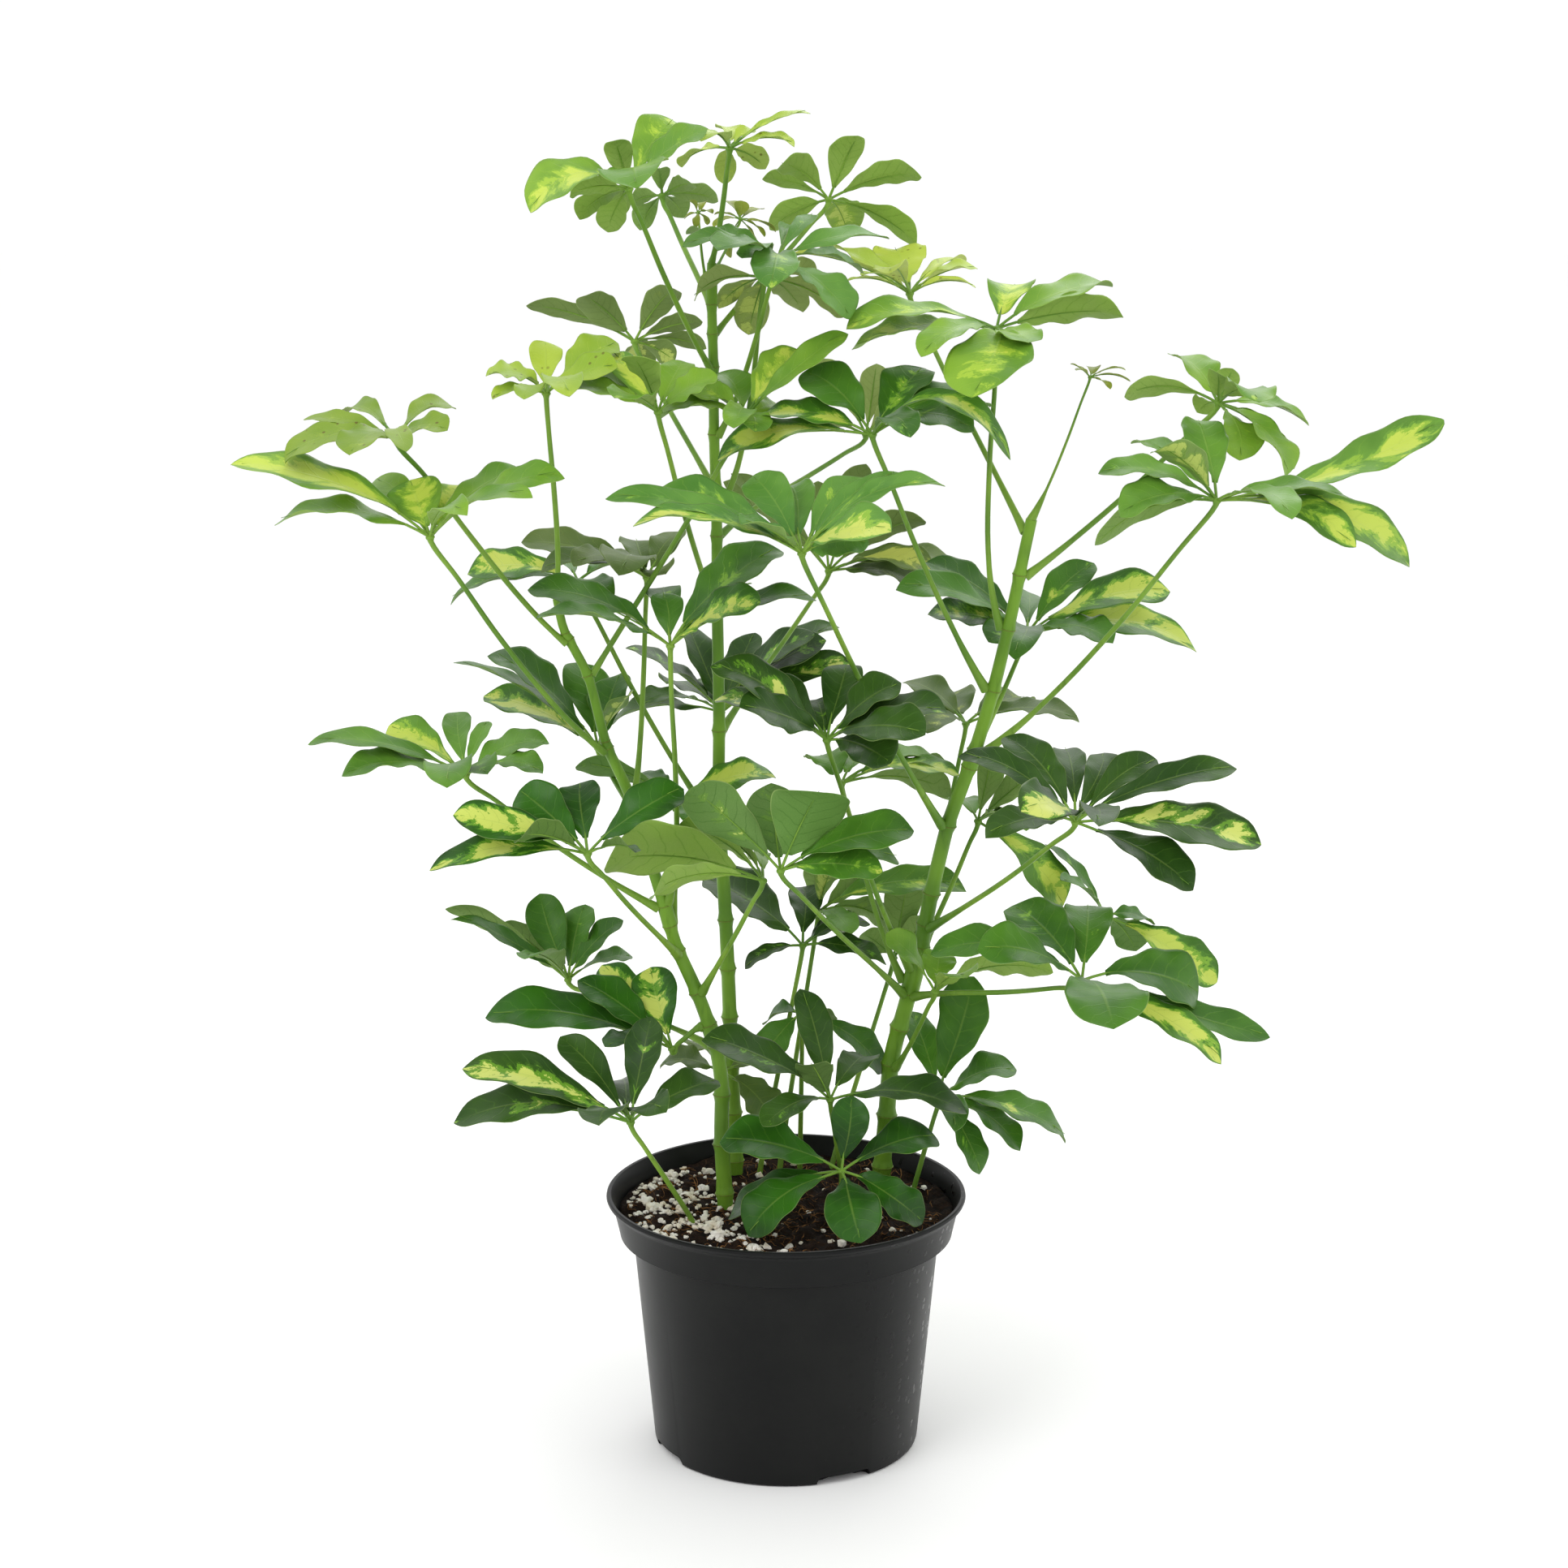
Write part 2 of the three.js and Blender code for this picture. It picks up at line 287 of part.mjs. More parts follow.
    tone: 'mid', tips: [[1108, 1152, 0.1, 26, 1.8, -0.8], [1000, 1058, -0.2, 18, 1, -0.9],
      [1026, 1066, -0.2, 17, 1, -0.9], [1088, 1080, -0.1, 22, 1, -0.9], [1050, 1150, -0.7, 22],
      [1194, 1091, 0, 30, 1.5, 0.7]] },
  { name: 'leaf_base_07', foot: [985, 1438], hub: [989, 1248], depth: 44, span: 66, width: 34, open: 0.5,
    tone: 'plain', tips: [[940, 1303, -0.3, 25], [1088, 1322, -0.1, 28], [945, 1258, 0.6, 24],
      [1016, 1264, 0.7, 22]] },
  { name: 'leaf_base_08', foot: [884, 1466], hub: [890, 1322], depth: 30, span: 80, width: 34, open: 0.14,
    tone: 'dull', tips: [[952, 1384, -0.3, 36], [812, 1310, 0.2, 30], [965, 1312, 0.5, 38],
      [860, 1290, 0.7, 30]] },
  { name: 'leaf_base_09', foot: [1014, 1444], hub: [1101, 1180], depth: 92, span: 84, width: 32, open: -1,
    tone: 'mid', tips: [[1120, 1078, -0.3, 27], [1150, 1128, -0.1, 20], [1062, 1150, 0, 24]] },
];

// A point on the view ray through a pixel, at a given depth along Y or on the level plane at a height.
function viewRay(px, py) {
  return viewForward.clone()
    .addScaledVector(new THREE.Vector3(1, 0, 0), (px - viewMiddle[0]) / viewFocal)
    .addScaledVector(viewUp, (viewMiddle[1] - py) / viewFocal);
}

function sighted(px, py, depth) {
  const ray = viewRay(px, py);
  return eye.clone().addScaledVector(ray, (depth - eye.y) / ray.y);
}

function sightedOnSoil(px, py) {
  const ray = viewRay(px, py);
  return eye.clone().addScaledVector(ray, (soilTop - eye.z) / ray.z);
}

// Closed solids
function solidOf(points, triangles) {
  const vertProperties = new Float32Array(points.flatMap((p) => [p.x, p.y, p.z]));
  const triVerts = new Uint32Array(triangles.flat());
  const solid = new Manifold(new SolidMesh({ numProp: 3, vertProperties, triVerts }));
  if (solid.volume() > 0) return solid;
  const turned = triangles.map(([a, b, c]) => [a, c, b]);
  const inward = new Uint32Array(turned.flat());
  return new Manifold(new SolidMesh({ numProp: 3, vertProperties, triVerts: inward }));
}

function solidOfGeometry(geometry) {
  const bare = geometry.clone();
  bare.deleteAttribute('normal');
  bare.deleteAttribute('uv');
  const merged = mergeVertices(bare, 1e-3);
  const at = merged.attributes.position;
  const points = [];
  for (let i = 0; i < at.count; i += 1) points.push(new THREE.Vector3().fromBufferAttribute(at, i));
  const index = merged.index.array;
  const triangles = [];
  for (let i = 0; i < index.length; i += 3) {
    const face = [index[i], index[i + 1], index[i + 2]];
    if (new Set(face).size === 3) triangles.push(face);
  }
  return solidOf(points, triangles);
}

// A mesh in the making: corner points and triangles, skinned ring by ring.
class Skin {
  constructor() {
    this.points = [];
    this.triangles = [];
  }

  addRing(ring) {
    const first = this.points.length;
    this.points.push(...ring);
    return ring.map((_, i) => first + i);
  }

  // The diagonals lead from even corners to odd ones, so both faces of a thin blade are split alike.
  join(low, high) {
    low.forEach((a, i) => {
      const k = (i + 1) % low.length;
      const [b, c, d] = [low[k], high[k], high[i]];
      if (i % 2 === 0) this.triangles.push([a, b, c], [a, c, d]);
      else this.triangles.push([a, b, d], [b, c, d]);
    });
  }

  // Joins two rings with different numbers of corners, given the angle of each corner.
  joinUneven(low, lowAngles, high, highAngles) {
    let [i, j] = [0, 0];
    while (i < low.length || j < high.length) {
      const nextLow = i + 1 < low.length ? lowAngles[i + 1] : lowAngles[0] + 2 * Math.PI;
      const nextHigh = j + 1 < high.length ? highAngles[j + 1] : highAngles[0] + 2 * Math.PI;
      const [a, b] = [low[i % low.length], high[j % high.length]];
      if (j === high.length || (i < low.length && nextLow <= nextHigh)) {
        this.triangles.push([a, low[(i + 1) % low.length], b]);
        i += 1;
      } else {
        this.triangles.push([a, high[(j + 1) % high.length], b]);
        j += 1;
      }
    }
  }

  closeStart(ring) {
    for (let i = 1; i + 1 < ring.length; i += 1) this.triangles.push([ring[0], ring[i + 1], ring[i]]);
  }

  closeEnd(ring, apex) {
    if (apex) {
      const [top] = this.addRing([apex]);
      ring.forEach((a, i) => this.triangles.push([a, ring[(i + 1) % ring.length], top]));
    } else {
      for (let i = 1; i + 1 < ring.length; i += 1) this.triangles.push([ring[0], ring[i], ring[i + 1]]);
    }
  }

  solid() {
    return solidOf(this.points, this.triangles);
  }
}

function loft(rings, apex) {
  const skin = new Skin();
  const rows = rings.map((ring) => skin.addRing(ring));
  for (let r = 0; r + 1 < rows.length; r += 1) skin.join(rows[r], rows[r + 1]);
  skin.closeStart(rows[0]);
  skin.closeEnd(rows[rows.length - 1], apex);
  return skin.solid();
}

// Two directions square to a given one, so that angles run anticlockwise around it.
function acrossAndOver(direction, reference) {
  const across = new THREE.Vector3().crossVectors(direction, reference).normalize();
  return [across, new THREE.Vector3().crossVectors(direction, across).normalize()];
}

function aroundPoint(centre, [across, over], angle, radius) {
  return centre.clone()
    .addScaledVector(across, Math.cos(angle) * radius)
    .addScaledVector(over, Math.sin(angle) * radius);
}

function ringAround(centre, direction, radius, sides, reference) {
  const basis = acrossAndOver(direction, reference);
  const step = (2 * Math.PI) / sides;
  return Array.from({ length: sides }, (_, i) => aroundPoint(centre, basis, i * step, radius));
}

// Pot: a turned shell on a flat pad and a foot ring, with drain notches under the foot.
function potSolid() {
  const bandFoot = potHeight - bandHeight;
  const profile = [
    [0, 0], [padRadius, 0], [padRadius + 4, floorHeight - 3],
    [bodyFootRadius - footRingWidth - 4, floorHeight - 3], [bodyFootRadius - footRingWidth, 0],
    [bodyFootRadius - 3, 0], [bodyFootRadius, 3.5],
    [bodyTopRadius, bandFoot - 2], [bandFootRadius - 1, bandFoot], [bandFootRadius, bandFoot + 2],
    [bandTopRadius, potHeight - 7], [rimRadius - 0.6, potHeight - 3.5], [rimRadius, potHeight - 1.2],
    [rimRadius - 1, potHeight], [rimRadius - lipThickness, potHeight],
    [bandTopRadius - wall, potHeight - 8], [bandFootRadius - wall, bandFoot + stepHeight + 3],
    [bodyTopRadius - wall, bandFoot + stepHeight], [bodyFootRadius - wall, floorHeight], [0, floorHeight],
  ].map(([r, z]) => new THREE.Vector2(r, z));
  let pot = solidOfGeometry(new THREE.LatheGeometry(profile, potSides).rotateX(Math.PI / 2));
  for (let i = 0; i < notchCount; i += 1) {
    const notch = new THREE.BoxGeometry(footRingWidth * 2, notchWidth, notchHeight * 2);
    notch.translate(bodyFootRadius, 0, 0);
    notch.rotateZ((2 * Math.PI * i) / notchCount + THREE.MathUtils.degToRad(notchTurn));
    pot = pot.subtract(solidOfGeometry(notch));
  }
  return pot;
}

// Soil: fills the shell, with a lumpy top. The perlite shows as small knobs raised from it.
function soilHeight(x, y) {
  const broad = 1.6 * Math.sin(x * 0.11 + 1.3) * Math.cos(y * 0.13 - 0.4);
  const lumps = broad + 1.1 * Math.sin(x * 0.29 - y * 0.23);
  const perlite = Math.max(0, Math.sin(x * 0.41 + 2) * Math.sin(y * 0.37 + x * 0.09));
  const frontLeft = Math.max(0, Math.min(1, (-x - y) / 90 + 0.35));
  return soilTop + lumps + 3.2 * perlite * frontLeft;
}

function innerRadius(z) {
  const bandFoot = potHeight - bandHeight;
  const places = [
    [floorHeight, bodyFootRadius - wall], [bandFoot + stepHeight, bodyTopRadius - wall],
    [bandFoot + stepHeight + 3, bandFootRadius - wall], [potHeight - 8, bandTopRadius - wall],
  ];
  const k = places.findIndex(([height]) => height >= z);
  const [[z0, r0], [z1, r1]] = [places[Math.max(k - 1, 0)], places[Math.max(k, 1)]];
  return r0 + ((r1 - r0) * (z - z0)) / (z1 - z0);
}

function soilSolid() {
  const bandFoot = potHeight - bandHeight;
  const roundPot = Math.cos(Math.PI / potSides);
  const edge = (innerRadius(soilTop) - soilGap) * roundPot;
  const walls = [soilTop, bandFoot + stepHeight + 3, bandFoot + stepHeight, floorHeight + soilGap];
  const points = [new THREE.Vector3(0, 0, soilHeight(0, 0))];
  const radii = [...soilRings.slice(1), edge];
  const ringOf = (radius, heightAt) => {
    for (let i = 0; i < soilSides; i += 1) {
      const angle = (2 * Math.PI * i) / soilSides;
      const [x, y] = [radius * Math.cos(angle), radius * Math.sin(angle)];
      points.push(new THREE.Vector3(x, y, heightAt(x, y)));
    }
  };
  radii.forEach((radius, k) => ringOf(radius, k + 1 < radii.length ? soilHeight : () => soilTop - 1));
  walls.slice(1).forEach((z) => ringOf((innerRadius(z) - soilGap) * roundPot, () => z));
  const ringTotal = radii.length + walls.length - 1;
  const triangles = [];
  for (let i = 0; i < soilSides; i += 1) {
    const j = (i + 1) % soilSides;
    triangles.push([0, 1 + i, 1 + j]);
    for (let r = 0; r + 1 < ringTotal; r += 1) {
      const [a, b] = [1 + r * soilSides, 1 + (r + 1) * soilSides];
      triangles.push([a + i, b + i, b + j], [a + i, b + j, a + j]);
    }
  }
  const last = 1 + (ringTotal - 1) * soilSides;
  points.push(new THREE.Vector3(0, 0, floorHeight + soilGap));
  for (let i = 0; i < soilSides; i += 1) {
    triangles.push([last + (i + 1) % soilSides, last + i, points.length - 1]);
  }
  return solidOf(points, triangles);
}

// Stems: tapering tubes with swollen ring scars, standing deep in the soil.
function stemCurve(stem) {
  const places = stem.line.map(([px, py, depth]) => sighted(px, py, depth));
  const foot = places[0].clone();
  foot.z = soilTop - stemHoleDepth;
  return new THREE.CatmullRomCurve3([foot, ...places], false, 'centripetal');
}

function plainRadius(stem, distance) {
  return THREE.MathUtils.lerp(stem.thick[0], stem.thick[1], distance / stem.length) / 2;
}

// Swollen rings sit where leaves grow, and as old scars in the bare stretches between them.
function stemRings(stem) {
  const feet = leaves.filter((leaf) => stems[leaf.stem] === stem && !leaf.top)
    .map((leaf) => stemPlace(stem, leaf.foot) * stem.length).sort((a, b) => a - b);
  const places = [stemHoleDepth + 10];
  for (const foot of [...feet, stem.length - 8]) {
    const last = places[places.length - 1];
    const scars = Math.round((foot - last) / ringSpacing);
    for (let i = 1; i < scars; i += 1) places.push(last + ((foot - last) * i) / scars);
    if (foot - last > ringHalfHeight) places.push(foot);
  }
  const rings = [[0, 1]];
  places.slice(0, -1).forEach((place, i) => {
    const [before, after] = [place - (places[i - 1] ?? 0), places[i + 1] - place];
    if (before > 3 * ringHalfHeight) rings.push([place - ringHalfHeight, 1]);
    rings.push([place, ringSwell]);
    if (after > 3 * ringHalfHeight) rings.push([place + ringHalfHeight, 1]);
  });
  rings.push([stem.length, 1]);
  return rings.map(([distance, swell]) => ({ distance, radius: plainRadius(stem, distance) * swell }));
}

// The largest radius within the height of a leaf's foot.
function radiusUnder(stem, distance) {
  const at = (d) => {
    const k = Math.max(1, stem.rings.findIndex((ring) => ring.distance >= d));
    const [low, high] = [stem.rings[k - 1], stem.rings[k]];
    return THREE.MathUtils.mapLinear(d, low.distance, high.distance, low.radius, high.radius);
  };
  const near = stem.rings.filter((ring) => Math.abs(ring.distance - distance) < sheathRadius);
  const radii = near.map((ring) => ring.radius);
  return Math.max(at(distance - sheathRadius), at(distance + sheathRadius), ...radii);
}

function stemSolid(stem, extra = 0) {
  const rings = stem.rings.map(({ distance, radius }) => {
    const u = Math.min(distance / stem.length, 1);
    const direction = stem.curve.getTangentAt(u);
    return ringAround(stem.curve.getPointAt(u), direction, radius + extra, stemSides, awayAxis);
  });
  return loft(rings);
}

// Finds where the stem shows at a pixel height, by halving.
function stemPlace(stem, py) {
  const heightOf = (u) => {
    const at = stem.curve.getPointAt(u).sub(eye);
    return viewMiddle[1] - (viewFocal * at.dot(viewUp)) / at.dot(viewForward);
  };
  let [low, high] = [0, 1];
  for (let i = 0; i < 30; i += 1) {
    const middle = (low + high) / 2;
    if (heightOf(middle) > py) low = middle;
    else high = middle;
  }
  return (low + high) / 2;
}

// How far the stem's corners reach outwards in a direction.
function stemReach(stem, u, along, out) {
  const [across, over] = acrossAndOver(along, awayAxis);
  const corner = Math.PI / stemSides;
  const angle = Math.atan2(out.dot(over), out.dot(across)) + 2 * Math.PI;
  const fromCorner = corner - Math.abs((angle % (2 * corner)) - corner);
  return radiusUnder(stem, u * stem.length) * Math.cos(fromCorner);
}

// Leaf frame: where the leaf stalk starts, where it ends, and which way the leaf faces.
function leafFrame(leaf, hubShift, bowShift) {
  const hub = sighted(leaf.hub[0], leaf.hub[1], leaf.depth * depthSpread + hubShift * hubStep);
  let [foot, leave, flat, sheath] = [null, worldUp, worldUp, sheathRadius * 0.8];
  if (Array.isArray(leaf.foot)) {
    foot = sightedOnSoil(...leaf.foot);
    foot.z = soilTop - stalkHoleDepth;
  } else {
    const stem = stems[leaf.stem];
    const u = leaf.top ? 1 : stemPlace(stem, leaf.foot);
    const along = stem.curve.getTangentAt(u);
    const centre = stem.curve.getPointAt(u);
    const out = hub.clone().sub(centre);
    out.addScaledVector(along, -out.dot(along)).normalize();
    if (leaf.top) foot = centre.addScaledVector(along, leafGap);
    else foot = centre.addScaledVector(out, stemReach(stem, u, along, out) + leafGap);
    leave = along.clone().multiplyScalar(leaf.top ? 1.2 : 0.75).add(out).normalize();
    flat = leaf.top ? along : out;
    sheath = Math.min(sheathRadius, plainRadius(stem, u * stem.length) * 0.9);
  }
  const reach = hub.clone().sub(foot);
  const length = reach.length();
  const side = new THREE.Vector3(reach.x, reach.y, 0).multiplyScalar(0.35 / length);
  const axis = worldUp.clone().add(side).normalize();
  const bow = awayAxis.clone().multiplyScalar(bowShift * bowStep);
  const curve = new THREE.CubicBezierCurve3(
    foot,
    foot.clone().addScaledVector(leave, length * 0.13).addScaledVector(reach, 0.2).add(bow),
    hub.clone().addScaledVector(axis, -length * 0.06).addScaledVector(reach, -0.25).add(bow),
    hub,
  );
  return { hub, axis, curve, flat, sheath };
}

function leafStalkRings(leaf, frame, extra) {
  const small = leaf.tone === 'bud' ? budScale : 1;
  const thin = stalkRadius * small;
  const profile = [
    [0, frame.sheath], [0.07, Math.max(frame.sheath * 0.75, thin)], [0.22, thin * 1.05],
    [0.55, thin], [0.82, thin * 0.9],
  ];
  const rings = profile.map(([u, radius]) => {
    const direction = u === 0 ? frame.flat : frame.curve.getTangent(u);
    return ringAround(frame.curve.getPoint(u), direction, radius + extra, stalkSides, awayAxis);
  });
  const underHub = frame.hub.clone().addScaledVector(frame.axis, -hubRadius * small);
  rings.push(ringAround(underHub, frame.axis, thin + extra, stalkSides, awayAxis));
  return rings;
}

// Leaflet: a short stalk and an obovate blade that is folded at the rib, arched, and waved at its edges.
function bladeBreadth(u) {
  return Math.pow(Math.sin(Math.PI * Math.pow(u, 1.6) * 0.985 + 0.02), 0.7);
}

function leafletFrame(leaf, frame, tip, phase, tipShift) {
  const [px, py, lean, breadth, bend = 1, open = leaf.open, sway = 0] = tip;
  const depth = frame.hub.y;
  const flat = sighted(px, py, depth).distanceTo(frame.hub);
  const room = Math.sqrt(Math.max(0, leaf.span ** 2 - flat ** 2));
  const end = sighted(px, py, depth + lean * room + tipShift * tipStep);
  const chord = end.clone().sub(frame.hub);
  const length = chord.length();
  const along = chord.clone().normalize();
  const toViewer = eye.clone().sub(frame.hub).normalize();
  const face = frame.axis.clone().addScaledVector(toViewer, open);
  const normal = face.addScaledVector(along, -face.dot(along)).normalize();
  const droop = arch * bend * (1 - 0.7 * Math.max(0, along.dot(frame.axis)));
  const aside = new THREE.Vector3().crossVectors(along, normal);
  const control = frame.hub.clone().addScaledVector(chord, 0.5).addScaledVector(normal, droop * length)
    .addScaledVector(aside, sway * length);
  const curve = new THREE.QuadraticBezierCurve3(frame.hub, control, end);
  return { curve, normal, breadth, phase };
}

function leafletRings(leaf, blade, extra = 0, fromHub = 0) {
  const { phase } = blade;
  const small = leaf.tone === 'bud' ? budScale : 1;
  const section = (t, half, rib, rise, wave) => {
    const centre = blade.curve.getPoint(t);
    const along = blade.curve.getTangent(t);
    const normal = blade.normal.clone().addScaledVector(along, -blade.normal.dot(along)).normalize();
    const across = new THREE.Vector3().crossVectors(along, normal);
    const edge = (side, lift) => {
      return centre.clone().addScaledVector(across, side * half).addScaledVector(normal, lift);
    };
    return [
      edge(-1, rise + wave[0]), centre.clone().addScaledVector(normal, rib),
      edge(1, rise + wave[1]), centre.clone().addScaledVector(normal, -rib),
    ];
  };
  const stalk = leafletStalkRadius * small + extra;
  const rib = ribHalfThickness * Math.max(small, 0.6) + extra;
  const rings = [section(leafletStalk, stalk, stalk, 0, [0, 0])];
  if (fromHub) rings.unshift(section(leafletStalk * fromHub, stalk, stalk, 0, [0, 0]));
  for (const u of blade.breadth < fineBreadth ? [0.4, 0.82] : [0.3, 0.6, 0.88]) {
    const half = (bladeBreadth(u) * blade.breadth) / 2;
    const wave = [phase + u * 8, phase * 1.7 + u * 7].map((w) => Math.sin(w) * waveHeight * small);
    const t = leafletStalk + (1 - leafletStalk) * u;
    rings.push(section(t, half + extra, rib, half * fold, wave));
  }
  return rings;
}

// Turns the order of a ring's corners until they lie nearest to those of the next ring.
function untwisted(points, corners, next) {
  const turns = corners.map((_, k) => corners.map((__, i) => corners[(i + k) % corners.length]));
  const centre = (list) => {
    return list.reduce((sum, p) => sum.add(p), new THREE.Vector3()).divideScalar(list.length);
  };
  const shift = centre(next).sub(centre(corners.map((c) => points[c])));
  const apart = (turn) => {
    return turn.reduce((sum, c, i) => sum + points[c].clone().add(shift).distanceToSquared(next[i]), 0);
  };
  return turns.reduce((best, turn) => (apart(turn) < apart(best) ? turn : best));
}

// Leaflets meet on a small hub. Each starts on a diamond of the hub's rim and shares corners with its
// neighbours, so a leaf is one closed skin from the foot of its stalk to its tips.
function leafSolid(leaf, frame, blades) {
  const small = leaf.tone === 'bud' ? budScale : 1;
  const skin = new Skin();
  const stalk = leafStalkRings(leaf, frame, 0).map((ring) => skin.addRing(ring));
  skin.closeStart(stalk[0]);
  for (let r = 0; r + 1 < stalk.length; r += 1) skin.join(stalk[r], stalk[r + 1]);

  const basis = acrossAndOver(frame.axis, awayAxis);
  const turned = blades.map((blade) => {
    const out = blade.curve.v2.clone().sub(frame.hub);
    return { blade, angle: Math.atan2(out.dot(basis[1]), out.dot(basis[0])) };
  }).sort((a, b) => a.angle - b.angle);
  const count = turned.length;
  const even = turned.map((_, i) => (2 * Math.PI * i) / count);
  const offset = turned.reduce((sum, { angle }, i) => sum + angle - even[i], 0) / count;
  const angles = turned.map(({ angle }, i) => (angle + even[i] + offset) / 2);
  const rim = [];
  angles.forEach((angle, i) => {
    const before = i === 0 ? angles[count - 1] - 2 * Math.PI : angles[i - 1];
    const between = (before + angle) / 2;
    const onRim = (at, lift) => aroundPoint(frame.hub, basis, at, hubRadius * small)
      .addScaledVector(frame.axis, lift * small);
    const [side, top, bottom] = skin.addRing([
      onRim(between, 0), onRim(angle, hubHalfHeight), onRim(angle, -hubHalfHeight),
    ]);
    rim.push({ side, top, bottom, angle, between });
  });
  const apex = frame.hub.clone().addScaledVector(frame.axis, 2 * small);
  skin.closeEnd(rim.flatMap(({ side, top }) => [side, top]), apex);

  const start = rim.findIndex(({ between }) => between >= 0);
  const around = [...rim.slice(start), ...rim.slice(0, start).map((r) => ({
    ...r, angle: r.angle + 2 * Math.PI, between: r.between + 2 * Math.PI,
  }))];
  skin.joinUneven(
    stalk[stalk.length - 1], [0, 0.5 * Math.PI, Math.PI, 1.5 * Math.PI],
    around.flatMap(({ side, bottom }) => [side, bottom]),
    around.flatMap(({ angle, between }) => [between, angle]),
  );

  turned.forEach(({ blade }, i) => {
    const { side, top, bottom } = rim[i];
    const rings = leafletRings(leaf, blade);
    let last = untwisted(skin.points, [rim[(i + 1) % count].side, top, side, bottom], rings[0]);
    for (const ring of rings) {
      const next = skin.addRing(ring);
      skin.join(last, next);
      last = next;
    }
    skin.closeEnd(last, blade.curve.v2);
  });
  return skin.solid();
}

// Clear growth: each leaf takes the first place, near its own, where it crosses nothing already grown.
const grown = [];
const outwardSteps = [0, -1, 1, -2, 2, -3, 3, -4, 4];
const hubSteps = [0, -1, 1, -2, 2, -3, 3, -4, 4, -5, 5, -6, 6];

function boxesMeet(a, b) {
  return [0, 1, 2].every((k) => a.min[k] <= b.max[k] && b.min[k] <= a.max[k]);
}

function crossing(solid, others) {
  const box = solid.boundingBox();
  let volume = 0;
  for (const other of others) {
    if (!boxesMeet(box, other.box)) continue;
    const shared = solid.intersect(other.solid);
    volume += shared.volume();
    shared.delete();
  }
  return volume;
}

// make(step) gives probes, each a fattened solid with the things that it mustn't meet.
function firstClear(steps, make) {
  let best = null;
  for (const step of steps) {
    const made = make(step);
    const crossed = made.probes.reduce((sum, [probe, others]) => sum + crossing(probe, others), 0);
    made.probes.forEach(([probe]) => probe.delete());
    if (!best || crossed < best.crossed) best = { ...made, crossed };
    if (crossed === 0) break;
  }
  return best;
}

function asItem(name, solid) {
  return { name, solid, box: solid.boundingBox() };
}

function growLeafAt(leaf, hubShift) {
  const fromSoil = Array.isArray(leaf.foot);
  const others = fromSoil ? grown.filter((item) => item.name !== 'soil') : grown;
  const stalk = firstClear(outwardSteps, (bowShift) => {
    const frame = leafFrame(leaf, hubShift, bowShift);
    const wide = loft(leafStalkRings(leaf, frame, clearance));
    const probe = fromSoil || leaf.top ? wide : wide.subtract(footGuard(frame));
    return { frame, probes: [[probe, others]] };
  });
  const { frame } = stalk;
  const siblings = [asItem(leaf.name, loft(leafStalkRings(leaf, frame, 0)))];
  const blades = leaf.tips.map((tip, i) => {
    const found = firstClear(outwardSteps, (tipShift) => {
      const blade = leafletFrame(leaf, frame, tip, i * 2.4, tipShift);
      const rings = leafletRings(leaf, blade, clearance);
      const whole = loft([rootRing(leaf, frame, blade), ...rings], blade.curve.v2);
      const near = loft(leafletRings(leaf, blade, siblingGap, hubShare), blade.curve.v2);
      return { blade, probes: [[whole, grown], [near, siblings]] };
    });
    const bare = leafletRings(leaf, found.blade, 0, hubShare);
    siblings.push(asItem(leaf.name, loft(bare, found.blade.curve.v2)));
    return found;
  });
  const crossed = stalk.crossed + blades.reduce((sum, b) => sum + b.crossed, 0);
  return { frame, blades: blades.map(({ blade }) => blade), crossed };
}

// A stand-in for the hub where a leaflet starts.
function rootRing(leaf, frame, blade) {
  const along = blade.curve.getTangent(0);
  const small = leaf.tone === 'bud' ? budScale : 1;
  const reach = hubRadius * small + clearance;
  const [right, bottom, left, top] = ringAround(frame.hub, along, reach, 4, blade.normal);
  return [left, top, right, bottom];
}

// The foot of a leaf stalk sits close to its stem, so its first stretch isn't tested.
function footGuard(frame) {
  const guard = new THREE.IcosahedronGeometry(footReach, 0);
  guard.translate(...frame.curve.getPoint(0).toArray());
  return solidOfGeometry(guard);
}

function growLeaf(leaf) {
  let best = null;
  for (const hubShift of hubSteps) {
    const attempt = growLeafAt(leaf, hubShift);
    if (!best || attempt.crossed < best.crossed) best = attempt;
    if (attempt.crossed === 0) break;
  }
  const body = leafSolid(leaf, best.frame, best.blades);
  grown.push(asItem(leaf.name, body));
  return { body, hole: loft(leafStalkRings(leaf, best.frame, holeGap)) };
}

// Materials
const look = (color, roughness) => new THREE.MeshStandardMaterial({ color, roughness, metalness: 0 });
const materials = {
  pot: look(0x26282a, 0.42),
  soil: look(0x3a2a20, 0.95),
  stem: look(0x6fa233, 0.5),
  plain: look(0x4b8a22, 0.35),
  dark: look(0x2f6630, 0.35),
  mid: look(0x4f8436, 0.38),
  fresh: look(0x7aa53c, 0.4),
  lime: look(0xa9c94a, 0.42),
  dull: look(0x6d8c55, 0.5),
  bud: look(0x86933c, 0.5),
};

function meshOf(solid, name, material) {
  const { vertProperties, triVerts } = solid.getMesh();
  const geometry = new THREE.BufferGeometry();
  geometry.setAttribute('position', new THREE.BufferAttribute(new Float32Array(vertProperties), 3));
  geometry.setIndex(new THREE.BufferAttribute(new Uint32Array(triVerts), 1));
  geometry.computeVertexNormals();
  const mesh = new THREE.Mesh(geometry, material);
  mesh.name = name;
  return mesh;
}

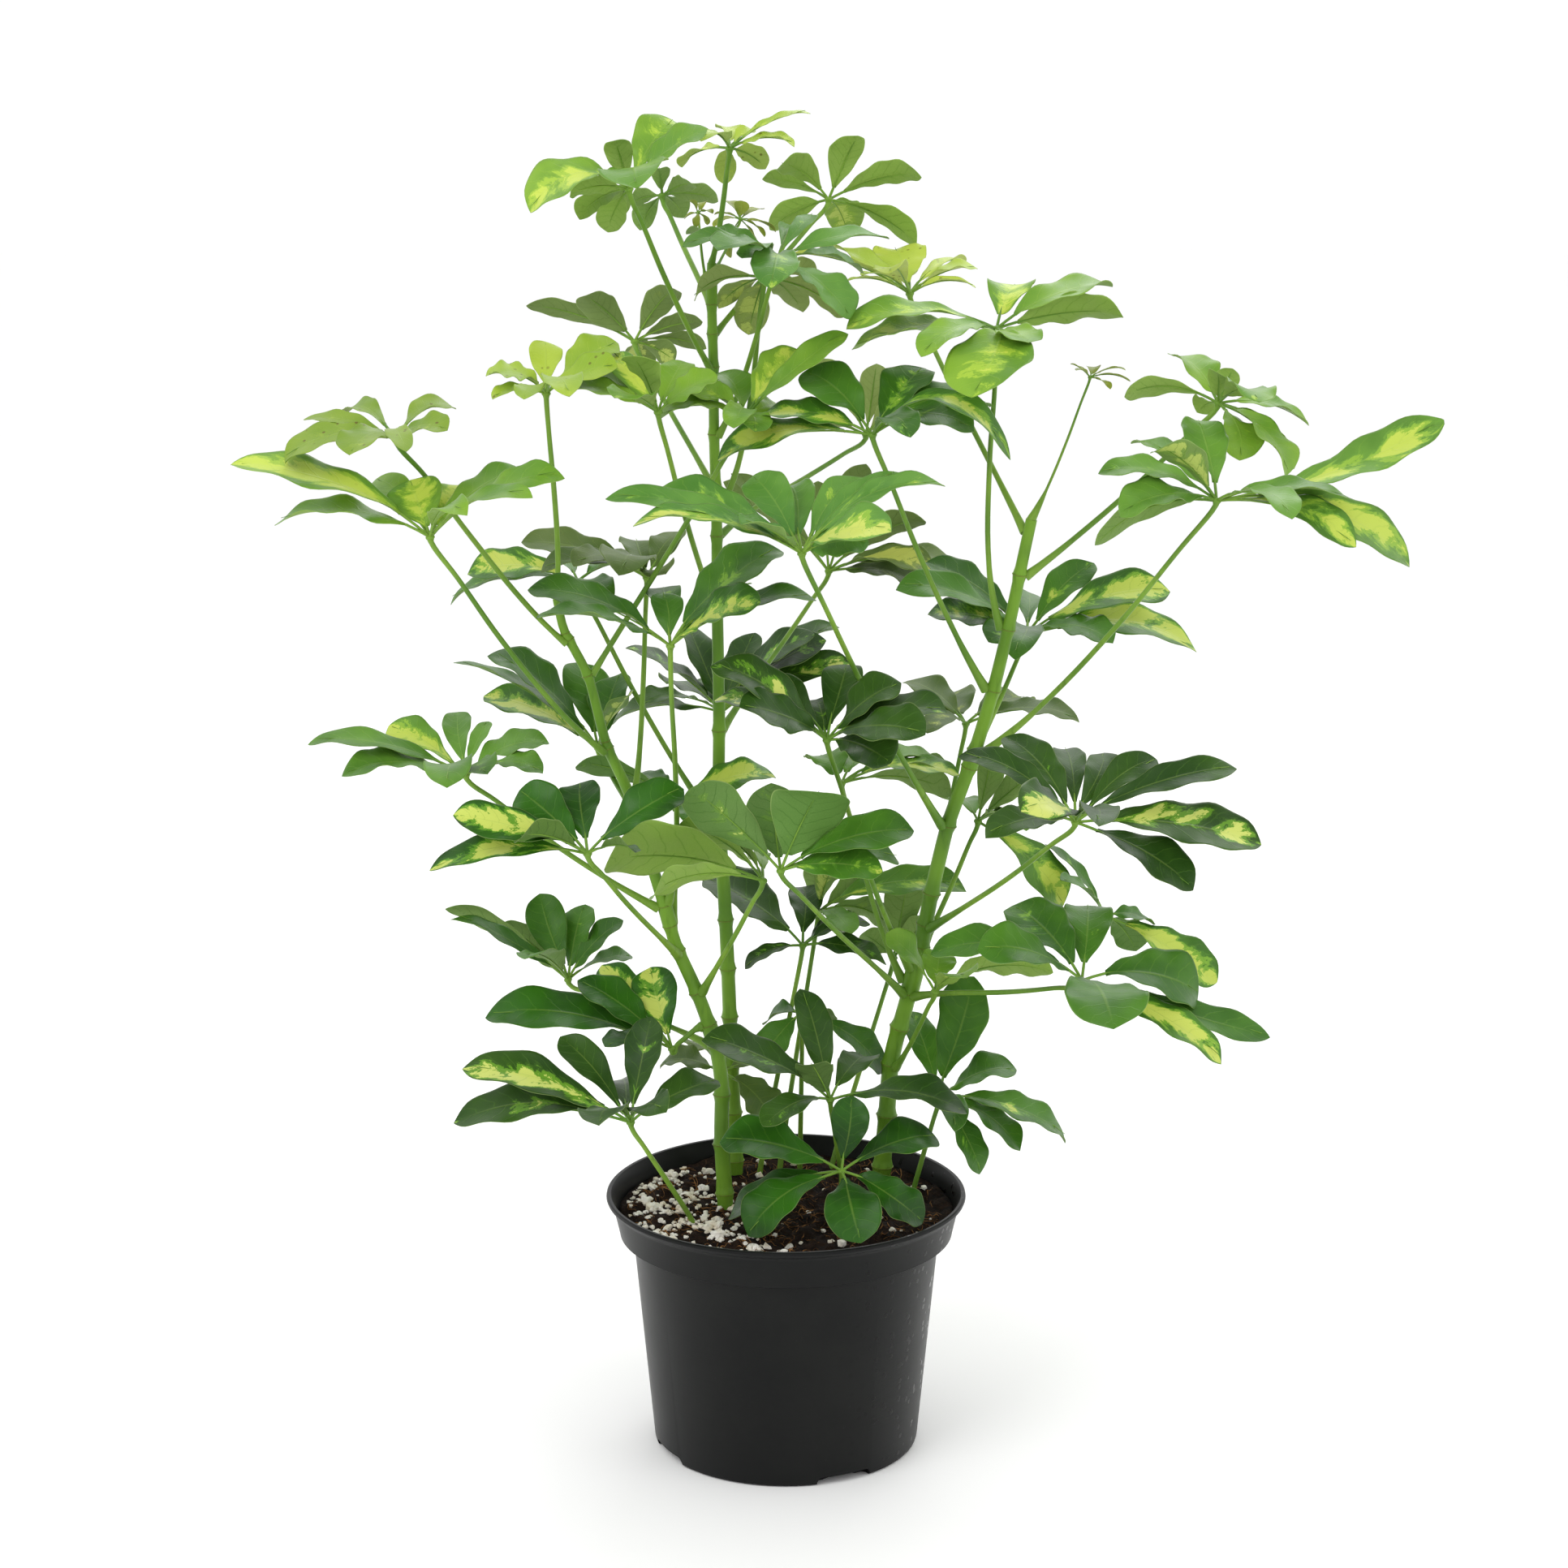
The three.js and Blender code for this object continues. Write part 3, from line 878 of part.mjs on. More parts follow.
// Assembly
const plant = new THREE.Group();
for (const stem of stems) {
  stem.curve = stemCurve(stem);
  stem.length = stem.curve.getLength();
  stem.rings = stemRings(stem);
  const solid = stemSolid(stem);
  grown.push(asItem(stem.name, solid));
  plant.add(meshOf(solid, stem.name, materials.stem));
}
const pot = potSolid();
grown.push(asItem('pot', pot));
const soilBlock = soilSolid();
grown.push(asItem('soil', soilBlock));

let soil = soilBlock;
for (const stem of stems) soil = soil.subtract(stemSolid(stem, holeGap));
for (const leaf of leaves) {
  const { body, hole } = growLeaf(leaf);
  plant.add(meshOf(body, leaf.name, materials[leaf.tone]));
  if (Array.isArray(leaf.foot)) soil = soil.subtract(hole);
}
plant.add(meshOf(pot, 'pot', materials.pot));
plant.add(meshOf(soil, 'soil', materials.soil));

export default plant;
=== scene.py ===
# Potted umbrella plant: fine leaves, stems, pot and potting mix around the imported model
import math
import random
from itertools import combinations

import bmesh
import bpy
import numpy as np
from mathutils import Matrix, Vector, noise


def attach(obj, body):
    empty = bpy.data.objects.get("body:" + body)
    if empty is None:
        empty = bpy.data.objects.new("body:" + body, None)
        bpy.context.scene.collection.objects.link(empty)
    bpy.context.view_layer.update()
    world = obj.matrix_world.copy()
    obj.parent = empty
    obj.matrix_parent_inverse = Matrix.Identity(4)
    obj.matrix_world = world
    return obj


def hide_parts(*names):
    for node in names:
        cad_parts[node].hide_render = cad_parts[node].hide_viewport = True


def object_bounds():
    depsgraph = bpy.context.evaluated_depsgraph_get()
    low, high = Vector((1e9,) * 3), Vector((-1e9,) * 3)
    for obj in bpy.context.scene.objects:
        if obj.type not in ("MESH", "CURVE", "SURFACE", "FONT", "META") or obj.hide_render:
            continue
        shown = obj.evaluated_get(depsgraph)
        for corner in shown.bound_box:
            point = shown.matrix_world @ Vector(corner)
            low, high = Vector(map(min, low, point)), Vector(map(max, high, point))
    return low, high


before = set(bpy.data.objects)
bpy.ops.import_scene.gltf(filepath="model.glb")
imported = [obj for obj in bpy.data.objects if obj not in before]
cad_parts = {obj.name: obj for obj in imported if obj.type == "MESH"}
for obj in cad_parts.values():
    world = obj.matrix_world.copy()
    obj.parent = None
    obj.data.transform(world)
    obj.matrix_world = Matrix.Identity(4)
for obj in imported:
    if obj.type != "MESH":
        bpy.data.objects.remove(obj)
bpy.ops.object.select_all(action="DESELECT")
cadBox = [list(corner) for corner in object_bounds()]
mm = 0.001
print("frame loaded:", len(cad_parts), "nodes")

# Camera
view = {
    "place": (0, -2.06, 0.895),
    "pitch": 12.4,
    "focalPixels": 4080,
    "imagePixels": 1932,
    "axisPixel": (968.5, 966),
    "sensor": 36,
}
viewTilt = math.radians(90 - view["pitch"])
bpy.ops.object.camera_add(location=view["place"], rotation=(viewTilt, 0, 0))
camera = bpy.context.object
camera.name = "camera"
camera.data.sensor_width = view["sensor"]
camera.data.lens = view["sensor"] * view["focalPixels"] / view["imagePixels"]
camera.data.shift_x = 0.5 - view["axisPixel"][0] / view["imagePixels"]
bpy.context.scene.camera = camera
bpy.context.scene.view_settings.view_transform = "Standard"


def photoPixel(point):  # where a point shows in the photo
    away = Vector(point) - Vector(view["place"])
    forward = Vector((0, math.sin(viewTilt), -math.cos(viewTilt)))
    up = Vector((0, math.cos(viewTilt), math.sin(viewTilt)))
    scale = view["focalPixels"] / away.dot(forward)
    return view["axisPixel"][0] + scale * away.x, view["axisPixel"][1] - scale * away.dot(up)


# Studio
studio = {
    "floorRadius": 14,
    "worldStrength": 1.04,
    "lamps": {  # place, size, power, aimed at
        "keyLamp": ((-1.5, -1.7, 2.3), 1.5, 24, (0, 0, 0.45)),
        "fillLamp": ((2.1, -1.0, 1.3), 1.4, 7, (0, 0, 0.35)),
        "backLamp": ((0.6, 2.0, 2.2), 1.6, 14, (0, 0, 0.6)),
    },
}


def makeStudio():
    bpy.ops.mesh.primitive_circle_add(vertices=96, radius=studio["floorRadius"], fill_type="NGON")
    floor = bpy.context.object
    floor.name = "studioFloor"
    for name, (place, size, power, target) in studio["lamps"].items():
        aim = (Vector(target) - Vector(place)).to_track_quat("-Z", "Y").to_euler()
        bpy.ops.object.light_add(type="AREA", location=place, rotation=aim)
        lamp = bpy.context.object
        lamp.name = name
        lamp.data.size = size
        lamp.data.energy = power
    world = bpy.data.worlds.new("paleStudio")
    bpy.context.scene.world = world
    world.use_nodes = True
    backdrop = world.node_tree.nodes["Background"]
    backdrop.inputs["Color"].default_value = (1, 1, 1, 1)
    backdrop.inputs["Strength"].default_value = studio["worldStrength"]
    return floor


# Node helpers
def addNode(tree, kind, inputs=None, **settings):
    node = tree.nodes.new("ShaderNode" + kind)
    for name, value in settings.items():
        setattr(node, name, value)
    for key, value in (inputs or {}).items():
        if isinstance(value, bpy.types.NodeSocket):
            tree.links.new(value, node.inputs[key])
        else:
            node.inputs[key].default_value = value
    return node


def calc(tree, operation, first, second=0.0, third=0.0):
    return addNode(tree, "Math", {0: first, 1: second, 2: third}, operation=operation).outputs[0]


def fade(tree, value, low, high, start=0.0, end=1.0):  # smooth step from low to high
    inputs = {"Value": value, "From Min": low, "From Max": high, "To Min": start, "To Max": end}
    return addNode(tree, "MapRange", inputs, interpolation_type="SMOOTHSTEP").outputs[0]


def blendColour(tree, mask, first, second):
    node = addNode(tree, "Mix", data_type="RGBA")
    for socket, value in zip((node.inputs[0], node.inputs[6], node.inputs[7]), (mask, first, second)):
        if isinstance(value, bpy.types.NodeSocket):
            tree.links.new(value, socket)
        else:
            socket.default_value = value
    return node.outputs[2]


def paint(hexCode):  # a colour as a paint shop writes it
    parts = [int(hexCode[i:i + 2], 16) / 255 for i in (0, 2, 4)]
    return [((c + 0.055) / 1.055) ** 2.4 if c > 0.04 else c / 12.92 for c in parts] + [1]


def newGroup(name, inputs, outputs):
    tree = bpy.data.node_groups.new(name, "ShaderNodeTree")
    for socket in inputs:
        tree.interface.new_socket(socket, in_out="INPUT", socket_type="NodeSocketFloat")
    for socket in outputs:
        tree.interface.new_socket(socket, in_out="OUTPUT", socket_type="NodeSocketFloat")
    source = tree.nodes.new("NodeGroupInput").outputs
    target = tree.nodes.new("NodeGroupOutput").inputs
    return tree, source, target


def placeGroup(tree, group, inputs):
    node = addNode(tree, "Group")
    node.node_tree = group
    for name, value in inputs.items():
        if isinstance(value, bpy.types.NodeSocket):
            tree.links.new(value, node.inputs[name])
        else:
            node.inputs[name].default_value = value
    return node.outputs


def newMaterial(name, **settings):
    material = bpy.data.materials.new(name)
    material.use_nodes = True
    tree = material.node_tree
    shader = tree.nodes["Principled BSDF"]
    for socket, value in settings.items():
        shader.inputs[socket.replace("_", " ")].default_value = value
    return material, tree, shader


def noiseAt(tree, vector, scale, detail=3.0, rough=0.55):
    inputs = {"Vector": vector, "Scale": scale, "Detail": detail, "Roughness": rough}
    return addNode(tree, "TexNoise", inputs).outputs["Fac"]


def softDots(tree, solid, scale, chosen, edge):  # dots in the cells whose own number is high enough
    cells = addNode(tree, "TexVoronoi", {"Vector": solid, "Scale": scale}).outputs
    number = addNode(tree, "SeparateColor", {0: cells["Color"]}).outputs[0]
    return calc(tree, "MULTIPLY", fade(tree, cells["Distance"], *edge), fade(tree, number, *chosen))


def bumpFrom(tree, shader, height, strength, distance):
    bump = addNode(tree, "Bump", {"Height": height, "Strength": strength, "Distance": distance})
    tree.links.new(bump.outputs["Normal"], shader.inputs["Normal"])


# Leaf patterns, from a leaflet's own map: along runs from its foot to its tip, across from edge to edge
def makeVeinGroup():
    tree, source, target = newGroup(
        "leafletVeins", ("Along", "Across", "Seed", "Pairs"), ("Rib", "Laterals", "Margin", "Flow"))
    side = calc(tree, "MULTIPLY_ADD", source["Across"], 2.0, -1.0)
    out = calc(tree, "ABSOLUTE", side)
    inputs = {"X": source["Along"], "Y": side, "Z": source["Seed"]}
    spot = addNode(tree, "CombineXYZ", inputs).outputs[0]
    wander = calc(tree, "SUBTRACT", noiseAt(tree, spot, 3.0, 2.0), 0.5)
    lean = calc(tree, "MULTIPLY", calc(tree, "POWER", out, 1.25), 0.2)
    flow = calc(tree, "MULTIPLY_ADD", wander, 0.09, calc(tree, "SUBTRACT", source["Along"], lean))
    shift = calc(tree, "MULTIPLY_ADD", calc(tree, "SIGN", side), 0.22, source["Seed"])
    beat = calc(tree, "FRACT", calc(tree, "MULTIPLY_ADD", flow, source["Pairs"], shift))
    offBeat = calc(tree, "ABSOLUTE", calc(tree, "SUBTRACT", beat, 0.5))
    laterals = calc(tree, "MULTIPLY", fade(tree, offBeat, 0.07, 0.005), fade(tree, out, 0.97, 0.55))
    width = calc(tree, "MULTIPLY_ADD", source["Along"], -0.03, 0.034)
    rib = fade(tree, calc(tree, "SUBTRACT", out, width), 0.03, -0.01)
    rib = calc(tree, "MULTIPLY", rib, fade(tree, source["Along"], 1.0, 0.45))
    margin = fade(tree, out, 0.94, 0.99)
    for name, value in (("Rib", rib), ("Laterals", laterals), ("Margin", margin), ("Flow", flow)):
        tree.links.new(value, target[name])
    return tree


def makePatchGroup():  # ragged patches that spread from the rib along the side veins
    tree, source, target = newGroup(
        "raggedPatches", ("Flow", "Across", "Seed", "Amount"), ("Yellow", "Pale", "Streak"))
    side = calc(tree, "MULTIPLY_ADD", source["Across"], 2.0, -1.0)
    out = calc(tree, "ABSOLUTE", side)
    seed = calc(tree, "MULTIPLY", source["Seed"], 37.0)
    alongVeins = calc(tree, "MULTIPLY", source["Flow"], 9.0)
    acrossVeins = calc(tree, "MULTIPLY", side, 1.6)
    spot = addNode(tree, "CombineXYZ", {"X": alongVeins, "Y": acrossVeins, "Z": seed}).outputs[0]
    large = noiseAt(tree, spot, 0.55, 1.0, 0.5)
    ragged = noiseAt(tree, spot, 1.9, 5.0, 0.72)
    mixed = calc(tree, "MULTIPLY_ADD", ragged, 0.5, calc(tree, "MULTIPLY", large, 0.75))
    swing = calc(tree, "SINE", calc(tree, "MULTIPLY", source["Seed"], 51.0))
    oneSided = calc(tree, "MULTIPLY", swing, 0.14)
    outward = calc(tree, "MULTIPLY", calc(tree, "MULTIPLY", out, out), -0.42)
    fall = calc(tree, "MULTIPLY_ADD", side, oneSided, outward)
    level = calc(tree, "ADD", mixed, calc(tree, "MULTIPLY_ADD", source["Amount"], 0.58, fall))
    for name, low, high in (("Yellow", 0.985, 1.0), ("Pale", 0.9, 0.925), ("Streak", 0.84, 0.87)):
        tree.links.new(fade(tree, level, low, high), target[name])
    return tree


leafLooks = {  # deep green, light green, mid patch, yellow patch, underside, roughness, specks
    "dark": ("244312", "385a1b", "629228", "c8d26a", "59743b", 0.36, 0.0),
    "plain": ("1b400c", "306412", "609427", "c2cf60", "5c7836", 0.33, 0.0),
    "fair": ("35611a", "4d7d24", "79a533", "bfcc5a", "6f8a49", 0.36, 0.0),
    "soft": ("47782a", "63923a", "88b03e", "c2ce62", "7b9652", 0.38, 0.0),
    "dull": ("4d672c", "627739", "7e913d", "b6be58", "72884a", 0.5, 0.0),
    "dusty": ("73893f", "8b9c4c", "9cad50", "bcc462", "8fa25e", 0.5, 0.0),
    "deep": ("335f17", "4c7e23", "76a331", "b8c954", "628343", 0.34, 0.0),
    "mid": ("487423", "669434", "8ab03a", "b8ca50", "7a9550", 0.38, 0.05),
    "fresh": ("5d8b2a", "80a833", "9dbe3d", "bdd04e", "84a04e", 0.36, 0.1),
    "olive": ("6c8c2c", "839e35", "98b03c", "b6c64c", "849a48", 0.44, 0.8),
    "lime": ("8aaa34", "a9c043", "bcd04c", "d0dd5c", "9eb45c", 0.42, 0.7),
    "lemon": ("a3bd44", "bfd053", "ccda5e", "dae46c", "aebd68", 0.42, 0.6),
    "bud": ("74842b", "8f9c36", "a6b33e", "c4cb52", "8c9948", 0.46, 0.5),
}
leafVeins = {
    "pairs": 7.5, "patchLateral": 0.14, "upperRib": 0.16, "underLateral": 0.38, "meshLines": 0.16,
    "upperMargin": 0.28, "underMargin": 0.35, "specular": 0.14, "coat": 0.12, "coatRoughness": 0.24,
    "underRoughness": 0.62, "ribTint": "a3c05a", "marginTint": "b4ca7a", "underPatch": "bfcd6a",
    "speckTint": "5f5220",
}


def makeLeafMaterials(tone, veins, patches):
    deep, light, pale, yellow, under, rough, specks = leafLooks[tone]
    made = []
    for name, upper in (("Upper", True), ("Under", False)):
        material, tree, shader = newMaterial("leaf" + tone.capitalize() + name)
        shader.inputs["Specular IOR Level"].default_value = leafVeins["specular"]
        if upper:
            shader.inputs["Coat Weight"].default_value = leafVeins["coat"]
            shader.inputs["Coat Roughness"].default_value = leafVeins["coatRoughness"]
        place = addNode(tree, "UVMap", uv_map="UVMap").outputs[0]
        split = addNode(tree, "SeparateXYZ", {0: place}).outputs
        seed = addNode(tree, "Attribute", attribute_name="leafletSeed").outputs["Fac"]
        amount = addNode(tree, "Attribute", attribute_name="yellowShare").outputs["Fac"]
        solid = addNode(tree, "TexCoord").outputs["Object"]
        lines = placeGroup(tree, veins, {
            "Along": split[0], "Across": split[1], "Seed": seed, "Pairs": leafVeins["pairs"]})
        spots = placeGroup(tree, patches, {
            "Flow": lines["Flow"], "Across": split[1], "Seed": seed, "Amount": amount})
        drift = calc(tree, "SUBTRACT", noiseAt(tree, solid, 22.0, 3.0), 0.1)
        clouds = calc(tree, "MULTIPLY_ADD", seed, 0.2, drift)
        inputs = {"Vector": solid, "Scale": 620.0}
        cells = addNode(tree, "TexVoronoi", inputs, feature="DISTANCE_TO_EDGE").outputs[0]
        mesh = fade(tree, cells, 0.0, 0.09, 1.0, 0.0)
        if upper:
            colour = blendColour(tree, fade(tree, clouds, 0.3, 0.72), paint(deep), paint(light))
            layers = [
                (spots["Streak"], light, 0.8), (spots["Pale"], pale, 1), (spots["Yellow"], yellow, 1),
                (lines["Laterals"], pale, leafVeins["patchLateral"]),
                (lines["Rib"], leafVeins["ribTint"], leafVeins["upperRib"]),
                (lines["Margin"], leafVeins["marginTint"], leafVeins["upperMargin"])]
        else:
            haze = fade(tree, clouds, 0.3, 0.72, 0, 0.35)
            colour = blendColour(tree, haze, paint(under), paint(light))
            layers = [
                (spots["Pale"], pale, 0.3), (spots["Yellow"], leafVeins["underPatch"], 0.75),
                (lines["Laterals"], deep, leafVeins["underLateral"]),
                (mesh, deep, leafVeins["meshLines"]),
                (lines["Margin"], leafVeins["marginTint"], leafVeins["underMargin"])]
        if specks:
            speckles = softDots(tree, solid, 260.0, (0.86, 0.9), (0.34, 0.2))
            layers.append((speckles, leafVeins["speckTint"], specks))
        for mask, tint, strength in layers:
            if strength < 1:
                mask = calc(tree, "MULTIPLY", mask, strength)
            colour = blendColour(tree, mask, colour, paint(tint))
        tree.links.new(colour, shader.inputs["Base Color"])
        veinRelief, ribRelief = (-0.5, -0.8) if upper else (0.8, 0.6)
        relief = calc(tree, "MULTIPLY", mesh, -0.12)
        relief = calc(tree, "MULTIPLY_ADD", lines["Laterals"], veinRelief, relief)
        relief = calc(tree, "MULTIPLY_ADD", lines["Rib"], ribRelief, relief)
        relief = calc(tree, "MULTIPLY_ADD", clouds, 0.8, relief)
        bumpFrom(tree, shader, relief, 0.35, 0.0006)
        sheen = fade(tree, noiseAt(tree, solid, 60.0, 4.0), 0.3, 0.75, -0.05, 0.1)
        base = rough if upper else leafVeins["underRoughness"]
        tree.links.new(calc(tree, "ADD", sheen, base), shader.inputs["Roughness"])
        made.append(material)
    return made


def makeStalkMaterial(name, base, light, scar):
    material, tree, shader = newMaterial(name, Roughness=0.4, Specular_IOR_Level=0.22)
    solid = addNode(tree, "TexCoord").outputs["Object"]
    drawn = addNode(tree, "Mapping", {"Vector": solid, "Scale": (1, 1, 0.12)}).outputs[0]
    fibres = noiseAt(tree, drawn, 260.0, 4.0)
    clouds = noiseAt(tree, solid, 18.0, 2.0)
    colour = blendColour(tree, fade(tree, clouds, 0.32, 0.7), paint(base), paint(light))
    colour = blendColour(tree, fade(tree, fibres, 0.5, 0.85, 0, 0.6), colour, paint(scar))
    tree.links.new(colour, shader.inputs["Base Color"])
    bumpFrom(tree, shader, fibres, 0.3, 0.0004)
    return material


# Rounded solids from lines
def only(*objects):
    bpy.ops.object.select_all(action="DESELECT")
    for piece in objects:
        piece.select_set(True)
    bpy.context.view_layer.objects.active = objects[0]


def tubes(name, lines, sides=2, smooth=1):  # each line is a list of (place, radius)
    path = bpy.data.curves.new(name, "CURVE")
    path.dimensions = "3D"
    path.bevel_depth = 1
    path.bevel_resolution = sides
    path.resolution_u = smooth
    path.use_fill_caps = True
    for line in lines:
        spline = path.splines.new("BEZIER")
        spline.bezier_points.add(len(line) - 1)
        for point, (place, radius) in zip(spline.bezier_points, line):
            point.co = place
            point.radius = radius
            point.handle_left_type = point.handle_right_type = "AUTO"
    tube = bpy.data.objects.new(name, path)
    bpy.context.collection.objects.link(tube)
    only(tube)
    bpy.ops.object.convert(target="MESH")
    tube = bpy.context.object
    bpy.ops.object.shade_smooth()
    return tube


def mergedSolid(node):
    mesh = bmesh.new()
    mesh.from_mesh(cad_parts[node].data)
    bmesh.ops.remove_doubles(mesh, verts=mesh.verts, dist=1e-7)
    return mesh


def around(corners):
    return {edge.other_vert(corner) for corner in corners for edge in corner.link_edges}


def middle(corners):
    return sum((corner.co for corner in corners), Vector()) / len(corners)


def ringsOf(start, used):  # rings of corners, each next to the last
    rings = [start]
    seen = set(start) | used
    while True:
        ring = around(rings[-1]) - seen
        if not ring:
            return rings
        rings.append(ring)
        seen |= ring


# Stems
stemLook = {
    "sides": 5, "smooth": 4, "plump": 0.97, "scarThickness": 0.36, "scarShare": 1.005, "scarRise": 1.05,
}


def makeStem(node, material, scarMaterial):
    mesh = mergedSolid(node)
    corners = sorted(mesh.verts, key=lambda corner: corner.co.z)
    rings = ringsOf(set(corners[:6]), set())
    line = []
    for ring in rings:
        centre = middle(ring)
        line.append((centre, max((corner.co - centre).length for corner in ring) * stemLook["plump"]))
    mesh.free()
    stem = tubes(node + "_fine", [line], stemLook["sides"], stemLook["smooth"])
    stem.data.materials.append(material)
    scars = []
    for (before, low), (place, radius), (after, high) in zip(line, line[1:], line[2:]):
        if radius > min(low, high) * stemLook["scarRise"]:
            aim = (after - before).to_track_quat("Z", "Y").to_euler()
            bpy.ops.mesh.primitive_torus_add(
                location=place, rotation=aim, major_segments=24, minor_segments=6,
                major_radius=radius * stemLook["scarShare"],
                minor_radius=stemLook["scarThickness"] * mm)
            scar = bpy.context.object
            bpy.ops.object.shade_smooth()
            scar.data.materials.append(scarMaterial)
            scars.append(scar)
    only(stem, *scars)
    bpy.ops.object.join()
    bpy.ops.object.transform_apply(location=True, rotation=True, scale=True)
    stem.name = node + "_fine"
    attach(stem, "root")
    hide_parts(node)


# Leaves
leaf = {
    "stalkShare": 0.17,
    "ringPlaces": {2: (0.4, 0.82), 3: (0.3, 0.6, 0.88)},
    "hubLift": 2.0,
    "hubRadius": 2.5,
    "plump": 0.88,
    "footReach": 1.5,
    "tipPixels": 4,
    "plainShares": (0, 0, 0.1, 0.2, 0.3),
    "ribSteps": 12,
    "ribEndPlace": 0.95,
    "thinRing": 1.2,
    "rows": 24,
    "columns": 12,
    "thickness": 0.5,
    "fullness": 0.55,
    "ripple": 1.5,
    "rippleBreadth": 30,
    "twist": 0.28,
    "sickle": 0.045,
    "curl": 0.06,
    "stalkRadius": 0.95,
    "ribRadius": 0.62,
    "ribEnd": 0.16,
}
leafTones = {
    "dark": "base_02 base_03 base_05 middle_12 right_07 right_09",
    "plain": "base_01 left_06 left_07",
    "fair": "base_04 base_07 left_09 left_11 left_12 middle_11 right_01",
    "soft": "middle_02 right_03",
    "dull": "base_08 left_10 middle_08 middle_13 right_14",
    "dusty": "middle_07 middle_14",
    "deep": "left_13 right_02 right_08 right_13 right_17",
    "fresh": "left_01 left_02 left_04 middle_01 middle_03 middle_04 right_04 right_06 right_10",
    "olive": "left_05",
    "lime": "left_03 middle_05",
    "lemon": "right_11",
    "bud": "middle_09 middle_10 right_12",
}
yellowTips = {  # share of yellow, by where the leaflet's tip shows in the photo
    "base_02": {(569, 1312): 0.66, (559, 1384): 0.35},
    "base_06": {(1026, 1066): 0.7, (1194, 1091): 0.4},
    "left_02": {(993, 430): 0.6},
    "left_04": {(284, 571): 0.65, (505, 590): 0.6, (575, 594): 0.6},
    "left_06": {(558, 1004): 0.7, (528, 1071): 0.7},
    "left_07": {(742, 1187): 0.75, (800, 1190): 0.7},
    "left_08": {(478, 893): 0.75},
    "left_09": {(937, 742): 0.7},
    "left_11": {(596, 857): 0.7, (776, 855): 0.7},
    "left_13": {(957, 953): 0.7},
    "middle_01": {(650, 260): 0.65, (832, 144): 0.45},
    "middle_02": {(950, 352): 0.4},
    "middle_03": {(753, 431): 0.6},
    "middle_04": {(1045, 287): 0.7},
    "middle_07": {(884, 378): 0.75, (922, 412): 0.7},
    "middle_08": {(797, 458): 0.75, (832, 445): 0.7},
    "middle_11": {(576, 708): 0.6, (550, 739): 0.3, (790, 697): 0.3},
    "middle_12": {(1018, 789): 0.4, (1051, 813): 0.65},
    "middle_13": {(1150, 702): 0.75},
    "right_01": {(1510, 1307): 0.75},
    "right_02": {(1088, 1074): 0.45},
    "right_03": {(779, 638): 0.7, (1098, 650): 0.75},
    "right_04": {(1196, 488): 0.45, (1252, 350): 0.7, (1048, 427): 0.5, (1041, 402): 0.45},
    "right_05": {(1780, 514): 0.6, (1423, 549): 0.7, (1673, 672): 0.7, (1737, 698): 0.65},
    "right_06": {(1600, 575): 0.6},
    "right_07": {(1555, 1040): 0.55, (1262, 995): 0.7},
    "right_08": {(882, 564): 0.7, (927, 515): 0.7, (1252, 562): 0.6},
    "right_09": {(880, 856): 0.7, (878, 814): 0.4},
    "right_13": {(1443, 726): 0.7, (1477, 800): 0.75, (1143, 757): 0.6},
    "right_15": {(1182, 955): 0.7},
    "right_16": {(1312, 1116): 0.65},
    "right_17": {(1500, 1210): 0.75},
}


def makeUnitBlade():  # a flat blade, one long and two wide, that every leaflet is bent from
    bpy.ops.mesh.primitive_grid_add(x_subdivisions=leaf["rows"], y_subdivisions=leaf["columns"], size=2)
    blade = bpy.context.object
    bpy.ops.object.mode_set(mode="EDIT")
    bpy.ops.mesh.select_all(action="SELECT")
    bpy.ops.transform.resize(value=(0.5, 1, 1))
    bpy.ops.transform.translate(value=(0.5, 0, 0))
    bpy.ops.object.mode_set(mode="OBJECT")
    bpy.ops.object.modifier_add(type="SOLIDIFY")
    blade.modifiers[0].thickness = 1
    blade.modifiers[0].offset = 0
    bpy.ops.object.modifier_apply(modifier=blade.modifiers[0].name)
    bpy.ops.object.shade_smooth()
    for face in blade.data.polygons:
        face.material_index = 1 if face.normal.z < -0.5 else 0
    blade.name = "unitBlade"
    return blade


def outline(u, fullness=0.7):  # half breadth of an obovate blade, from 0 at its foot to a round tip
    body = np.sin(math.pi * u ** 1.6 * 0.985 + 0.02) ** fullness
    end = np.clip((u - 0.9) / 0.1, 0, 1)
    return body * np.sqrt(np.clip(1 - end ** 2, 0, 1))


def curvePoint(foot, control, tip, t):
    return foot * (1 - t) ** 2 + control * (2 * t * (1 - t)) + tip * t ** 2


